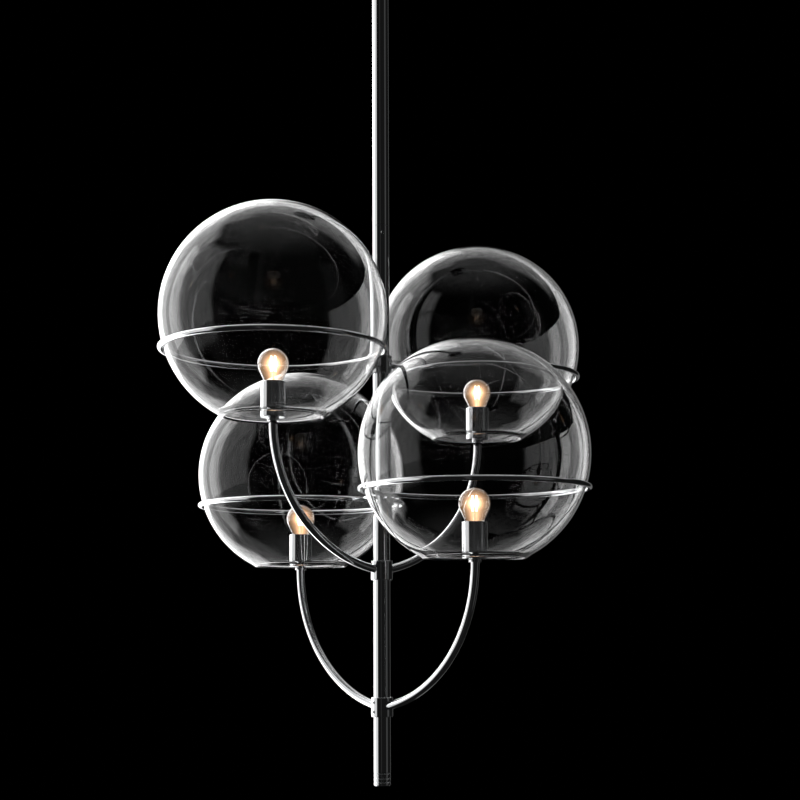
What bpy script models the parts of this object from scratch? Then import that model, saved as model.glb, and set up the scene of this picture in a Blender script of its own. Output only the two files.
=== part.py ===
"""Pendant light with four clear glass globes on two tiers of curved arms.

The origin is on the ceiling, at the centre of the ceiling bracket, with +Z up, so the whole
light hangs below z = 0. All lengths are metres. Azimuths are degrees from -Y towards +X.
"""
import math

import bmesh
import bpy
from mathutils import Matrix, Vector

# Fits and cuts
CLEARANCE = 0.0003
HOLE_CLEARANCE = 0.0006
CUT_OVERRUN = 0.004
MERGE_DISTANCE = 0.00001
SMOOTH_ANGLE = math.radians(40)
CUTTER_ROLL = math.radians(7)
CUTTER_SIDES = 8
PLUS_X_AZIMUTH = 90

# Hanging tube
STEM_RADIUS = 0.0125
STEM_WALL = 0.0015
STEM_STEPS = 16
JOINT_SCREW_RISE = 0.1543
SEAM_ABOVE_SCREW = 0.012
JOINER_LENGTH = 0.060
JOINER_WALL = 0.0015
JOINT_SCREW_AZIMUTH = 15
JOINT_SCREW_RADIUS = 0.0015
JOINT_SCREW_HEAD_RADIUS = 0.0025
JOINT_SCREW_HEAD_HEIGHT = 0.0010
JOINT_SCREW_LENGTH = 0.0030
WIRE_HOLE_RADIUS = 0.0045

# End piece of the tube
STEM_TAIL = 0.116
END_HEIGHT = 0.0184
END_GROOVE_HEIGHTS = (0.0112, 0.0055)
END_GROOVE_WIDTH = 0.0010
END_GROOVE_DEPTH = 0.0007
END_EDGE = 0.0010
END_SPIGOT_LENGTH = 0.012

# Ceiling bracket and its screws
BRACKET_RADIUS = 0.045
BRACKET_THICKNESS = 0.003
BRACKET_STEPS = 24
BRACKET_SCREW_CIRCLE = 0.033
BRACKET_SCREW_RADIUS = 0.0025
BRACKET_SCREW_HEAD_RADIUS = 0.0045
BRACKET_SCREW_HEAD_HEIGHT = 0.0028
SCREW_STEPS = 10

# Hanger that holds the tube under the bracket
HANGER_RADIUS = 0.0165
HANGER_HEIGHT = 0.024
HANGER_ROOF = 0.003
HANGER_PIN_RADIUS = 0.002
HANGER_PIN_DROP = 0.006
CABLE_HOLE_RADIUS = 0.0035
CABLE_HOLE_DROP = 0.0145
SUPPLY_HOLE_RADIUS = 0.006
SUPPLY_HOLE_CIRCLE = 0.028

# Terminal block inside the canopy
TERMINAL_WIDTH = 0.015
TERMINAL_LENGTH = 0.034
TERMINAL_HEIGHT = 0.013
TERMINAL_HOLE_RADIUS = 0.0016
TERMINAL_POLES = 3

# Canopy and the collar under it
CANOPY_RADIUS = 0.060
CANOPY_HEIGHT = 0.045
CANOPY_WALL = 0.0015
CANOPY_EDGE = 0.005
CANOPY_EDGE_POINTS = 2
CANOPY_STEPS = 24
CANOPY_COLLAR_RADIUS = 0.0165
CANOPY_COLLAR_HEIGHT = 0.012
CANOPY_SCREW_AZIMUTH = -135

# Layout of the globes
UPPER_GLOBE_DROP = 0.6013
GLOBE_COLLAR_GAP = 0.0224
GLOBE_GAP = 0.02317
UPPER_AZIMUTHS = {"upper_front": -45, "upper_rear": 135}
LOWER_AZIMUTHS = {"lower_front": 45, "lower_rear": -135}

# Glass globes
GLOBE_RADIUS = 0.165
GLOBE_WALL = 0.0025
GLOBE_OPENING_RADIUS = 0.072
GLOBE_LIP_RADIUS = 0.0022
GLOBE_STEPS = 32
GLOBE_OUTER_ROWS = 9
GLOBE_INNER_ROWS = 7
GLOBE_LIP_POINTS = 3

# Rings that carry the globes
RING_ROD_RADIUS = 0.004
RING_ROD_SIDES = 6
RING_CONTACT_ANGLE = 17.13
RING_STUB_RADIUS = 0.005

# Collars on the tube
COLLAR_RADIUS = 0.0162
RING_COLLAR_HEIGHT = 0.028
ARM_COLLAR_HEIGHT = 0.029
COLLAR_EDGE = 0.0012
GRUB_RADIUS = 0.0020
GRUB_SPACING = 0.014
GRUB_SOCKET_RADIUS = 0.0010
GRUB_SOCKET_DEPTH = 0.0015

# Curved arms
ARM_COLLAR_DROP = 0.3649
ARM_RADIUS = 0.006
ARM_BORE_RADIUS = 0.0044
ARM_SAG_SHARE = 1.008
ARM_END_TILT_SHARE = 0.27
ARM_POINTS = 12
ARM_BEVEL_STEPS = 2
ARM_BORE_BEVEL_STEPS = 1
ARM_SOCKET_BEVEL_STEPS = 4
ARM_TOP_INSET = 0.006
ARM_NUT_RADIUS = 0.0088
ARM_NUT_HEIGHT = 0.005
ARM_NUT_EDGE = 0.0012

# Lampholder cups and the inserts in them
CUP_TOP_DROP = 0.0969
CUP_HEIGHT = 0.052
CUP_RADIUS = 0.018
CUP_WALL = 0.001
CUP_FLOOR = 0.002
CUP_EDGE = 0.0010
CUP_STEPS = 16
INSERT_STEPS = 12
INSERT_PARTITION_HOLE_RADIUS = 0.002

# Bulbs
BULB_RADIUS = 0.0225
BULB_DROP = 0.0712
BULB_WALL = 0.0008
BULB_NECK_RADIUS = 0.009
BULB_NECK_DROP = 0.034
BULB_STEPS = 12
BULB_BALL_POINTS = 8
CAP_SKIRT_WALL = 0.0006
CAP_SKIRT_TOP_DROP = 0.0315
CAP_SKIRT_HEIGHT = 0.005
CAP_THREAD_RADIUS = 0.0068
CAP_THREAD_LENGTH = 0.020
CAP_CONTACT_RADIUS = 0.003
CAP_CONTACT_HEIGHT = 0.0025
CAP_WELL_RADIUS = 0.0055
CAP_WELL_FLOOR_DROP = 0.042
FILAMENT_STALK_RADIUS = 0.0015
FILAMENT_FOOT_RADIUS = 0.0045
FILAMENT_FOOT_HEIGHT = 0.002
FILAMENT_BOTTOM_DROP = 0.012
FILAMENT_TOP_RISE = 0.012
FILAMENT_PLATE_RADIUS = 0.0045
FILAMENT_PLATE_THICKNESS = 0.0008
FILAMENT_STICK_RADIUS = 0.0008
FILAMENT_STICK_CIRCLE = 0.0034
FILAMENT_STICKS = 4
FILAMENT_STEPS = 8
FILAMENT_STICK_SIDES = 6

# Places worked out from the sizes above
GLOBE_AXIS_RADIUS = GLOBE_RADIUS + COLLAR_RADIUS + GLOBE_COLLAR_GAP
TIER_SPACING = math.sqrt((GLOBE_RADIUS * 2 + GLOBE_GAP) ** 2 - GLOBE_AXIS_RADIUS ** 2 * 2)
CONTACT = math.radians(RING_CONTACT_ANGLE)
RING_CONTACT_DISTANCE = GLOBE_RADIUS + RING_ROD_RADIUS + CLEARANCE
RING_RADIUS = RING_CONTACT_DISTANCE * math.cos(CONTACT)
RING_DROP = RING_CONTACT_DISTANCE * math.sin(CONTACT)
STEM_BORE_RADIUS = STEM_RADIUS - STEM_WALL
SLEEVE_RADIUS = STEM_RADIUS + CLEARANCE
SPIGOT_RADIUS = STEM_BORE_RADIUS - CLEARANCE
UPPER_GLOBE_Z = -UPPER_GLOBE_DROP
LOWER_GLOBE_Z = UPPER_GLOBE_Z - TIER_SPACING
STEM_BOTTOM_Z = LOWER_GLOBE_Z - ARM_COLLAR_DROP - STEM_TAIL
SEAM_Z = UPPER_GLOBE_Z + JOINT_SCREW_RISE + SEAM_ABOVE_SCREW
JOINT_SCREW_Z = UPPER_GLOBE_Z + JOINT_SCREW_RISE
HANGER_TOP_Z = -BRACKET_THICKNESS - CLEARANCE
STEM_TOP_Z = HANGER_TOP_Z - HANGER_ROOF - CLEARANCE
HANGER_PIN_Z = STEM_TOP_Z - HANGER_PIN_DROP
CABLE_HOLE_Z = STEM_TOP_Z - CABLE_HOLE_DROP
CANOPY_COLLAR_TOP_Z = -CANOPY_HEIGHT - CLEARANCE - CLEARANCE
CUP_BOTTOM_DROP = CUP_TOP_DROP + CUP_HEIGHT
NUT_BOTTOM_DROP = CUP_BOTTOM_DROP + CLEARANCE + ARM_NUT_HEIGHT
ARM_RISE = ARM_COLLAR_DROP - NUT_BOTTOM_DROP
STUB_START_RADIUS = SLEEVE_RADIUS + CLEARANCE
ARM_START_RADIUS = STUB_START_RADIUS + ARM_RADIUS * ARM_END_TILT_SHARE
SKIRT_BOTTOM_DROP = CAP_SKIRT_TOP_DROP + CAP_SKIRT_HEIGHT
CAP_BOTTOM_DROP = SKIRT_BOTTOM_DROP + CAP_THREAD_LENGTH


def clear_scene():
    """Remove every object that the file opened with."""
    for obj in list(bpy.data.objects):
        bpy.data.objects.remove(obj, do_unlink=True)


def new_collection(name):
    """Add a collection to the scene."""
    collection = bpy.data.collections.new(name)
    bpy.context.scene.collection.children.link(collection)
    return collection


def new_material(name, colour, roughness, metallic=0.0, transmission=0.0):
    """Make a Principled material from a colour, a roughness and a metallic value."""
    material = bpy.data.materials.new(name)
    material.use_nodes = True
    shader = material.node_tree.nodes["Principled BSDF"]
    shader.inputs["Base Color"].default_value = (*colour, 1.0)
    shader.inputs["Roughness"].default_value = roughness
    shader.inputs["Metallic"].default_value = metallic
    shader.inputs["Transmission Weight"].default_value = transmission
    return material


clear_scene()
PARTS = new_collection("globe_pendant_light")
CUTTERS = new_collection("cutters")
CHROME = ("chrome", (0.80, 0.80, 0.81), 0.06, 1.0)
STEEL = ("steel", (0.56, 0.57, 0.58), 0.35, 1.0)
CLEAR_GLASS = ("clear_glass", (1.0, 1.0, 1.0), 0.0, 0.0, 1.0)
BULB_GLASS = ("bulb_glass", (1.0, 0.96, 0.90), 0.0, 0.0, 1.0)
BRASS = ("brass", (0.78, 0.60, 0.30), 0.25, 1.0)
HOLDER_PLASTIC = ("holder_plastic", (0.86, 0.85, 0.82), 0.40)
NYLON = ("nylon", (0.85, 0.85, 0.83), 0.50)
FILAMENT = ("filament", (1.0, 0.72, 0.38), 0.50)


def direction(azimuth):
    """Horizontal unit vector at an azimuth."""
    angle = math.radians(azimuth)
    return Vector((math.sin(angle), -math.cos(angle), 0.0))


def turn_to(azimuth):
    """Rotation about Z that carries +X to an azimuth."""
    return math.radians(azimuth) - math.pi / 2


def dress(obj, finish):
    """Give an object its own material of a finish."""
    obj.data.materials.clear()
    name, *values = finish
    obj.data.materials.append(new_material(obj.name + "_" + name, *values))


def place(obj, location, azimuth=PLUS_X_AZIMUTH, parent=None):
    """Put an object at a world place, turned so that its +X points at the azimuth."""
    obj.rotation_euler = (0.0, 0.0, turn_to(azimuth))
    if parent is None:
        obj.location = location
        return
    obj.parent = parent
    obj.location = Vector(location) - parent.location


def pivot(name, location):
    """Empty on a joint's axis, which carries the pieces that move together."""
    empty = bpy.data.objects.new(name, None)
    empty.location = location
    PARTS.objects.link(empty)
    return empty


def add_object(name, mesh, collection=None):
    """Link a mesh as an object, in the parts unless another collection is named."""
    obj = bpy.data.objects.new(name, mesh)
    target = collection or PARTS
    target.objects.link(obj)
    if target is CUTTERS:
        obj.hide_render = True
        obj.display_type = "WIRE"
    return obj


def smooth(mesh):
    """Shade a round piece smooth, with its edges kept sharp."""
    mesh.shade_smooth()
    mesh.set_sharp_from_angle(angle=SMOOTH_ANGLE)


def turned(name, profile, steps, finish, closed=True):
    """Turn a profile of (radius, height) points about Z; its outer side runs top to bottom."""
    mesh = bpy.data.meshes.new(name)
    vertices = [(radius, 0.0, height) for radius, height in profile]
    edges = [(index, index + 1) for index in range(len(profile) - 1)]
    if closed:
        edges.append((len(profile) - 1, 0))
    mesh.from_pydata(vertices, edges, [])
    obj = add_object(name, mesh)
    screw = obj.modifiers.new("turn", "SCREW")
    screw.axis = "Z"
    screw.angle = math.tau
    screw.steps = steps
    screw.render_steps = steps
    screw.use_merge_vertices = True
    screw.merge_threshold = MERGE_DISTANCE
    screw.use_smooth_shade = True
    dress(obj, finish)
    return obj


def rod(name, radius, length, sides, collection=None, roll=0.0):
    """Closed cylinder along Z, centred on its origin and rolled about its axis."""
    mesh = bpy.data.meshes.new(name)
    shape = bmesh.new()
    bmesh.ops.create_cone(
        shape,
        cap_ends=True,
        segments=sides,
        radius1=radius,
        radius2=radius,
        depth=length,
        matrix=Matrix.Rotation(roll, 4, "Z"),
    )
    shape.to_mesh(mesh)
    shape.free()
    obj = add_object(name, mesh, collection)
    smooth(mesh)
    return obj


def boolean(obj, other, operation="DIFFERENCE"):
    """Cut an object with another, or join the other to it."""
    modifier = obj.modifiers.new(operation.lower() + "_" + other.name, "BOOLEAN")
    modifier.operation = operation
    modifier.solver = "EXACT"
    modifier.object = other


def cutter_rod(name, radius, start, end, sides=CUTTER_SIDES):
    """Cutter cylinder from one point to another, rolled so that no corner meets another edge."""
    axis = Vector(end) - Vector(start)
    obj = rod(name, radius, axis.length, sides, CUTTERS, CUTTER_ROLL)
    obj.rotation_euler = axis.to_track_quat("Z", "Y").to_euler()
    obj.location = (Vector(start) + Vector(end)) / 2
    return obj


def swept(name, points, radius, bevel_steps, collection=None):
    """Closed mesh tube of a radius along points."""
    curve = bpy.data.curves.new(name, "CURVE")
    curve.dimensions = "3D"
    curve.bevel_depth = radius
    curve.bevel_resolution = bevel_steps
    curve.use_fill_caps = True
    spline = curve.splines.new("POLY")
    spline.points.add(len(points) - 1)
    for target, point in zip(spline.points, points):
        target.co = (*point, 1.0)
    guide = add_object(name + "_curve", curve, collection)
    bpy.context.view_layer.update()
    evaluated = guide.evaluated_get(bpy.context.evaluated_depsgraph_get())
    mesh = bpy.data.meshes.new_from_object(evaluated)
    mesh.name = name
    matrix = guide.matrix_world.copy()
    bpy.data.objects.remove(guide, do_unlink=True)
    shape = bmesh.new()
    shape.from_mesh(mesh)
    bmesh.ops.remove_doubles(shape, verts=shape.verts, dist=MERGE_DISTANCE)
    shape.to_mesh(mesh)
    shape.free()
    obj = add_object(name, mesh, collection)
    obj.matrix_world = matrix
    smooth(mesh)
    return obj


def tube_profile(outer, inner, top, bottom, edge=0.0):
    """Closed profile of a tube, with its outer edges chamfered."""
    if edge:
        outside = [(outer - edge, top), (outer, top - edge), (outer, bottom + edge), (outer - edge, bottom)]
    else:
        outside = [(outer, top), (outer, bottom)]
    return outside + [(inner, bottom), (inner, top)]


def make_bracket():
    """Flat round bracket on the ceiling, with two screw holes and one for the supply cable."""
    bottom = -BRACKET_THICKNESS
    profile = [(0.0, 0.0), (BRACKET_RADIUS, 0.0), (BRACKET_RADIUS, bottom), (0.0, bottom)]
    bracket = turned("ceiling_bracket", profile, BRACKET_STEPS, STEEL, closed=False)
    start = (SUPPLY_HOLE_CIRCLE, 0.0, CUT_OVERRUN)
    end = (SUPPLY_HOLE_CIRCLE, 0.0, -BRACKET_THICKNESS - CUT_OVERRUN)
    boolean(bracket, cutter_rod("supply_hole", SUPPLY_HOLE_RADIUS, start, end))
    for index, side in enumerate((-1, 1), start=1):
        place_y = side * BRACKET_SCREW_CIRCLE
        start = (0.0, place_y, CUT_OVERRUN)
        end = (0.0, place_y, -BRACKET_THICKNESS - CUT_OVERRUN)
        hole = cutter_rod(f"bracket_hole_{index}", BRACKET_SCREW_RADIUS + HOLE_CLEARANCE, start, end)
        boolean(bracket, hole)
        make_bracket_screw(index, place_y)


def make_bracket_screw(index, place_y):
    """Screw that holds the bracket, cut off level with the ceiling."""
    head_top = -BRACKET_THICKNESS - CLEARANCE
    head_bottom = head_top - BRACKET_SCREW_HEAD_HEIGHT
    profile = [
        (0.0, -CLEARANCE),
        (BRACKET_SCREW_RADIUS, -CLEARANCE),
        (BRACKET_SCREW_RADIUS, head_top),
        (BRACKET_SCREW_HEAD_RADIUS, head_top),
        (BRACKET_SCREW_HEAD_RADIUS, head_bottom),
        (0.0, head_bottom),
    ]
    screw = turned(f"bracket_screw_{index}", profile, SCREW_STEPS, STEEL, closed=False)
    place(screw, (0.0, place_y, 0.0))


def make_hanger():
    """Socket fixed under the bracket, and the pin that carries the tube in it."""
    roof = HANGER_TOP_Z - HANGER_ROOF
    bottom = HANGER_TOP_Z - HANGER_HEIGHT
    profile = [
        (0.0, HANGER_TOP_Z),
        (HANGER_RADIUS, HANGER_TOP_Z),
        (HANGER_RADIUS, bottom),
        (SLEEVE_RADIUS, bottom),
        (SLEEVE_RADIUS, roof),
        (0.0, roof),
    ]
    hanger = turned("stem_hanger", profile, STEM_STEPS, STEEL, closed=False)
    reach = HANGER_RADIUS + CUT_OVERRUN
    start = (0.0, -reach, HANGER_PIN_Z)
    end = (0.0, reach, HANGER_PIN_Z)
    pin_hole = cutter_rod("hanger_pin_hole", HANGER_PIN_RADIUS + HOLE_CLEARANCE, start, end)
    start = (0.0, 0.0, CABLE_HOLE_Z)
    end = (reach, 0.0, CABLE_HOLE_Z)
    cable_hole = cutter_rod("hanger_cable_hole", CABLE_HOLE_RADIUS, start, end)
    boolean(hanger, pin_hole)
    boolean(hanger, cable_hole)
    pin = rod("hanger_pin", HANGER_PIN_RADIUS, HANGER_RADIUS * 2, SCREW_STEPS)
    pin.rotation_euler = (math.pi / 2, 0.0, 0.0)
    pin.location = (0.0, 0.0, HANGER_PIN_Z)
    dress(pin, STEEL)
    return pin_hole, cable_hole


def make_terminal_block():
    """Block under the bracket, beside the hanger, where the supply wires are joined."""
    inner_face = HANGER_RADIUS + HOLE_CLEARANCE
    centre = Vector((
        -inner_face - TERMINAL_WIDTH / 2,
        0.0,
        -BRACKET_THICKNESS - CLEARANCE - TERMINAL_HEIGHT / 2,
    ))
    mesh = bpy.data.meshes.new("terminal_block")
    shape = bmesh.new()
    bmesh.ops.create_cube(
        shape, matrix=Matrix.Diagonal((TERMINAL_WIDTH, TERMINAL_LENGTH, TERMINAL_HEIGHT, 1.0))
    )
    shape.to_mesh(mesh)
    shape.free()
    block = add_object("terminal_block", mesh)
    block.location = centre
    dress(block, NYLON)
    pitch = TERMINAL_LENGTH / TERMINAL_POLES
    reach = TERMINAL_WIDTH / 2 + CUT_OVERRUN
    for index in range(TERMINAL_POLES):
        place_y = (index - (TERMINAL_POLES - 1) / 2) * pitch
        start = centre + Vector((-reach, place_y, 0.0))
        end = centre + Vector((reach, place_y, 0.0))
        boolean(block, cutter_rod(f"terminal_hole_{index}", TERMINAL_HOLE_RADIUS, start, end))


def make_canopy(body):
    """Round cover over the bracket, with rounded lower edges."""
    bottom = -CANOPY_HEIGHT - CLEARANCE
    outer = []
    inner = []
    for index in range(CANOPY_EDGE_POINTS + 1):
        angle = math.pi / 2 * index / CANOPY_EDGE_POINTS
        along = math.cos(angle)
        down = math.sin(angle)
        centre = (CANOPY_RADIUS - CANOPY_EDGE, bottom + CANOPY_EDGE)
        outer.append((centre[0] + CANOPY_EDGE * along, centre[1] - CANOPY_EDGE * down))
        radius = CANOPY_EDGE - CANOPY_WALL
        inner.append((centre[0] + radius * along, centre[1] - radius * down))
    profile = [(CANOPY_RADIUS, -CLEARANCE)] + outer
    profile += [(SLEEVE_RADIUS, bottom), (SLEEVE_RADIUS, bottom + CANOPY_WALL)]
    profile += list(reversed(inner)) + [(CANOPY_RADIUS - CANOPY_WALL, -CLEARANCE)]
    canopy = turned("ceiling_canopy", profile, CANOPY_STEPS, CHROME)
    place(canopy, (0.0, 0.0, 0.0), PLUS_X_AZIMUTH, body)


def make_grub(name, centre, azimuth, outer_radius, body):
    """Socket set screw in a collar's wall, with its tip just off the tube."""
    length = outer_radius - SLEEVE_RADIUS
    profile = [
        (0.0, length / 2 - GRUB_SOCKET_DEPTH),
        (GRUB_SOCKET_RADIUS, length / 2 - GRUB_SOCKET_DEPTH),
        (GRUB_SOCKET_RADIUS, length / 2),
        (GRUB_RADIUS, length / 2),
        (GRUB_RADIUS, -length / 2),
        (0.0, -length / 2),
    ]
    grub = turned(name, profile, SCREW_STEPS, STEEL, closed=False)
    outward = direction(azimuth)
    middle = Vector(centre) + outward * (SLEEVE_RADIUS + length / 2)
    grub.parent = body
    grub.location = middle - body.location
    grub.rotation_euler = outward.to_track_quat("Z", "Y").to_euler()


def grub_hole(name, centre, azimuth, outer_radius):
    """Cutter for a set screw's hole through one wall of a collar."""
    outward = direction(azimuth)
    start = Vector(centre) + outward * (SLEEVE_RADIUS - CUT_OVERRUN)
    end = Vector(centre) + outward * (outer_radius + CUT_OVERRUN)
    return cutter_rod(name, GRUB_RADIUS + HOLE_CLEARANCE, start, end)


def make_collar(name, middle_z, outer, height, azimuth, grub_offsets, body):
    """Collar round the tube, with its set screws at one azimuth."""
    profile = tube_profile(outer, SLEEVE_RADIUS, height / 2, -height / 2, COLLAR_EDGE)
    collar = turned(name, profile, STEM_STEPS, CHROME)
    place(collar, (0.0, 0.0, middle_z), PLUS_X_AZIMUTH, body)
    for index, offset in enumerate(grub_offsets, start=1):
        centre = (0.0, 0.0, middle_z + offset)
        boolean(collar, grub_hole(f"{name}_grub_hole_{index}", centre, azimuth, outer))
        make_grub(f"{name}_screw_{index}", centre, azimuth, outer, body)
    return collar


def make_stem(hanger_holes):
    """Upper and lower tube, the sleeve and screw that join them, and the end piece."""
    end_top = STEM_BOTTOM_Z + END_HEIGHT
    upper_bottom = SEAM_Z + CLEARANCE / 2
    lower_top = SEAM_Z - CLEARANCE / 2
    profile = tube_profile(STEM_RADIUS, STEM_BORE_RADIUS, STEM_TOP_Z, upper_bottom)
    upper = turned("upper_stem_tube", profile, STEM_STEPS, CHROME)
    for hole in hanger_holes:
        boolean(upper, hole)
    profile = tube_profile(STEM_RADIUS, STEM_BORE_RADIUS, lower_top, end_top + CLEARANCE)
    lower = turned("lower_stem_tube", profile, STEM_STEPS, CHROME)
    joiner_top = SEAM_Z + JOINER_LENGTH / 2
    joiner_bottom = SEAM_Z - JOINER_LENGTH / 2
    profile = tube_profile(SPIGOT_RADIUS, SPIGOT_RADIUS - JOINER_WALL, joiner_top, joiner_bottom)
    joiner = turned("stem_joiner", profile, STEM_STEPS, STEEL)
    outward = direction(JOINT_SCREW_AZIMUTH)
    centre = Vector((0.0, 0.0, JOINT_SCREW_Z))
    start = centre + outward * (SPIGOT_RADIUS - JOINER_WALL - CUT_OVERRUN)
    end = centre + outward * (STEM_RADIUS + CUT_OVERRUN)
    hole = cutter_rod("joint_screw_hole", JOINT_SCREW_RADIUS + HOLE_CLEARANCE, start, end)
    boolean(lower, hole)
    boolean(joiner, hole)
    make_joint_screw(centre, outward)
    for name, globe_z, azimuth in (
        ("upper_wire_hole", UPPER_GLOBE_Z, UPPER_AZIMUTHS["upper_front"]),
        ("lower_wire_hole", LOWER_GLOBE_Z, LOWER_AZIMUTHS["lower_front"]),
    ):
        outward = direction(azimuth)
        reach = STEM_RADIUS + CUT_OVERRUN
        middle = Vector((0.0, 0.0, globe_z - ARM_COLLAR_DROP))
        boolean(lower, cutter_rod(name, WIRE_HOLE_RADIUS, middle - outward * reach, middle + outward * reach))
    make_stem_end()


def make_joint_screw(centre, outward):
    """Small screw on the front of the tube, which holds the lower tube to the sleeve."""
    profile = [
        (0.0, JOINT_SCREW_HEAD_HEIGHT),
        (JOINT_SCREW_HEAD_RADIUS, JOINT_SCREW_HEAD_HEIGHT),
        (JOINT_SCREW_HEAD_RADIUS, 0.0),
        (JOINT_SCREW_RADIUS, 0.0),
        (JOINT_SCREW_RADIUS, -JOINT_SCREW_LENGTH),
        (0.0, -JOINT_SCREW_LENGTH),
    ]
    screw = turned("stem_joint_screw", profile, SCREW_STEPS, CHROME, closed=False)
    screw.location = centre + outward * (STEM_RADIUS + CLEARANCE)
    screw.rotation_euler = outward.to_track_quat("Z", "Y").to_euler()


def make_stem_end():
    """Turned end piece with a spigot in the tube and two thin grooves below the seam."""
    profile = [
        (0.0, END_HEIGHT + END_SPIGOT_LENGTH),
        (SPIGOT_RADIUS, END_HEIGHT + END_SPIGOT_LENGTH),
        (SPIGOT_RADIUS, END_HEIGHT),
        (STEM_RADIUS - END_GROOVE_DEPTH, END_HEIGHT),
        (STEM_RADIUS, END_HEIGHT - END_GROOVE_WIDTH),
    ]
    for height in END_GROOVE_HEIGHTS:
        profile.append((STEM_RADIUS, height + END_GROOVE_WIDTH / 2))
        profile.append((STEM_RADIUS - END_GROOVE_DEPTH, height))
        profile.append((STEM_RADIUS, height - END_GROOVE_WIDTH / 2))
    profile += [(STEM_RADIUS, END_EDGE), (STEM_RADIUS - END_EDGE, 0.0), (0.0, 0.0)]
    end = turned("stem_end_piece", profile, STEM_STEPS, CHROME, closed=False)
    end.location = (0.0, 0.0, STEM_BOTTOM_Z)


def globe_point(radius, angle):
    """Point of a globe's section at a polar angle."""
    return (radius * math.sin(angle), radius * math.cos(angle))


def globe_angles(rim_angle, rows):
    """Polar angles from the pole to the rim, with a row where the ring touches."""
    contact = math.pi / 2 + CONTACT
    upper_rows = round(rows * contact / rim_angle)
    lower_rows = rows - upper_rows
    angles = [contact * index / upper_rows for index in range(upper_rows + 1)]
    step = (rim_angle - contact) / lower_rows
    return angles + [contact + step * index for index in range(1, lower_rows + 1)]


def globe_profile():
    """Section of the glass from the top outside, round the lip, to the top inside."""
    inner_radius = GLOBE_RADIUS - GLOBE_WALL
    middle_radius = GLOBE_RADIUS - GLOBE_WALL / 2
    rim_angle = math.pi - math.asin(GLOBE_OPENING_RADIUS / middle_radius)
    lip_centre = Vector(globe_point(middle_radius, rim_angle))
    outward = Vector((math.sin(rim_angle), math.cos(rim_angle)))
    along = Vector((math.cos(rim_angle), -math.sin(rim_angle)))
    profile = [globe_point(GLOBE_RADIUS, angle) for angle in globe_angles(rim_angle, GLOBE_OUTER_ROWS)[:-1]]
    for index in range(GLOBE_LIP_POINTS + 2):
        turn = math.pi * index / (GLOBE_LIP_POINTS + 1)
        point = lip_centre + outward * (GLOBE_LIP_RADIUS * math.cos(turn))
        point += along * (GLOBE_LIP_RADIUS * math.sin(turn))
        profile.append(tuple(point))
    inside = [globe_point(inner_radius, angle) for angle in globe_angles(rim_angle, GLOBE_INNER_ROWS)[:-1]]
    return profile + list(reversed(inside))


def make_globe(name, centre, azimuth, body):
    """Blown glass globe, open at the bottom."""
    globe = turned(f"glass_globe_{name}", globe_profile(), GLOBE_STEPS, CLEAR_GLASS, closed=False)
    place(globe, centre, azimuth, body)


def make_ring(name, centre, azimuth, body):
    """Rod ring under a globe's equator, with the stub that joins it to its collar."""
    towards_globe = math.pi - CONTACT
    profile = []
    for index in range(RING_ROD_SIDES):
        angle = towards_globe - math.tau * index / RING_ROD_SIDES
        profile.append((RING_RADIUS + RING_ROD_RADIUS * math.cos(angle), RING_ROD_RADIUS * math.sin(angle)))
    ring = turned(f"globe_ring_{name}", profile, GLOBE_STEPS, CHROME)
    place(ring, centre, azimuth, body)
    outward = direction(azimuth)
    hub = Vector((0.0, 0.0, centre[2]))
    start = hub + outward * STUB_START_RADIUS
    end = hub + outward * (GLOBE_AXIS_RADIUS - RING_RADIUS)
    boolean(ring, cutter_rod(f"globe_ring_{name}_stub", RING_STUB_RADIUS, start, end), "UNION")


def arm_point(radius):
    """Point of an arm's centre line at a distance from the tube, above its collar's middle."""
    depth = ARM_RISE * ARM_SAG_SHARE
    start_cosine = math.sqrt(1 - 1 / ARM_SAG_SHARE ** 2)
    reach = GLOBE_AXIS_RADIUS / (1 - start_cosine)
    across = (radius - GLOBE_AXIS_RADIUS + reach) / reach
    return Vector((radius, 0.0, ARM_RISE - depth * math.sqrt(max(0.0, 1 - across ** 2))))


def arm_path():
    """Arm's centre line from its collar, up and outwards, and straight up into its cup."""
    depth = ARM_RISE * ARM_SAG_SHARE
    start_cosine = math.sqrt(1 - 1 / ARM_SAG_SHARE ** 2)
    reach = GLOBE_AXIS_RADIUS / (1 - start_cosine)
    first = math.acos((ARM_START_RADIUS - GLOBE_AXIS_RADIUS + reach) / reach)
    points = []
    for index in range(ARM_POINTS):
        angle = first * (1 - index / (ARM_POINTS - 1))
        radius = GLOBE_AXIS_RADIUS - reach + reach * math.cos(angle)
        points.append(Vector((radius, 0.0, ARM_RISE - depth * math.sin(angle))))
    inset = ARM_NUT_HEIGHT + CLEARANCE + ARM_TOP_INSET
    points.append(points[-1] + Vector((0.0, 0.0, inset)))
    return points


def make_arm(name, collar_z, azimuth, collar, body):
    """Curved tube from the arm collar to a lampholder cup."""
    points = arm_path()
    arm = swept(f"arm_{name}", points, ARM_RADIUS, ARM_BEVEL_STEPS)
    dress(arm, CHROME)
    place(arm, (0.0, 0.0, collar_z), azimuth, body)
    first_step = (points[0] - points[1]).normalized() * CUT_OVERRUN
    last_step = (points[-1] - points[-2]).normalized() * CUT_OVERRUN
    bore_points = [points[0] + first_step] + points[1:-1] + [points[-1] + last_step]
    bore = swept(f"arm_{name}_bore", bore_points, ARM_BORE_RADIUS, ARM_BORE_BEVEL_STEPS, CUTTERS)
    place(bore, (0.0, 0.0, collar_z), azimuth)
    boolean(arm, bore)
    socket_points = [points[0] + first_step, arm_point(COLLAR_RADIUS), arm_point(COLLAR_RADIUS + CUT_OVERRUN)]
    socket_radius = ARM_RADIUS + HOLE_CLEARANCE
    socket = swept(f"arm_{name}_socket", socket_points, socket_radius, ARM_SOCKET_BEVEL_STEPS, CUTTERS)
    place(socket, (0.0, 0.0, collar_z), azimuth)
    boolean(collar, socket)


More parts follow.
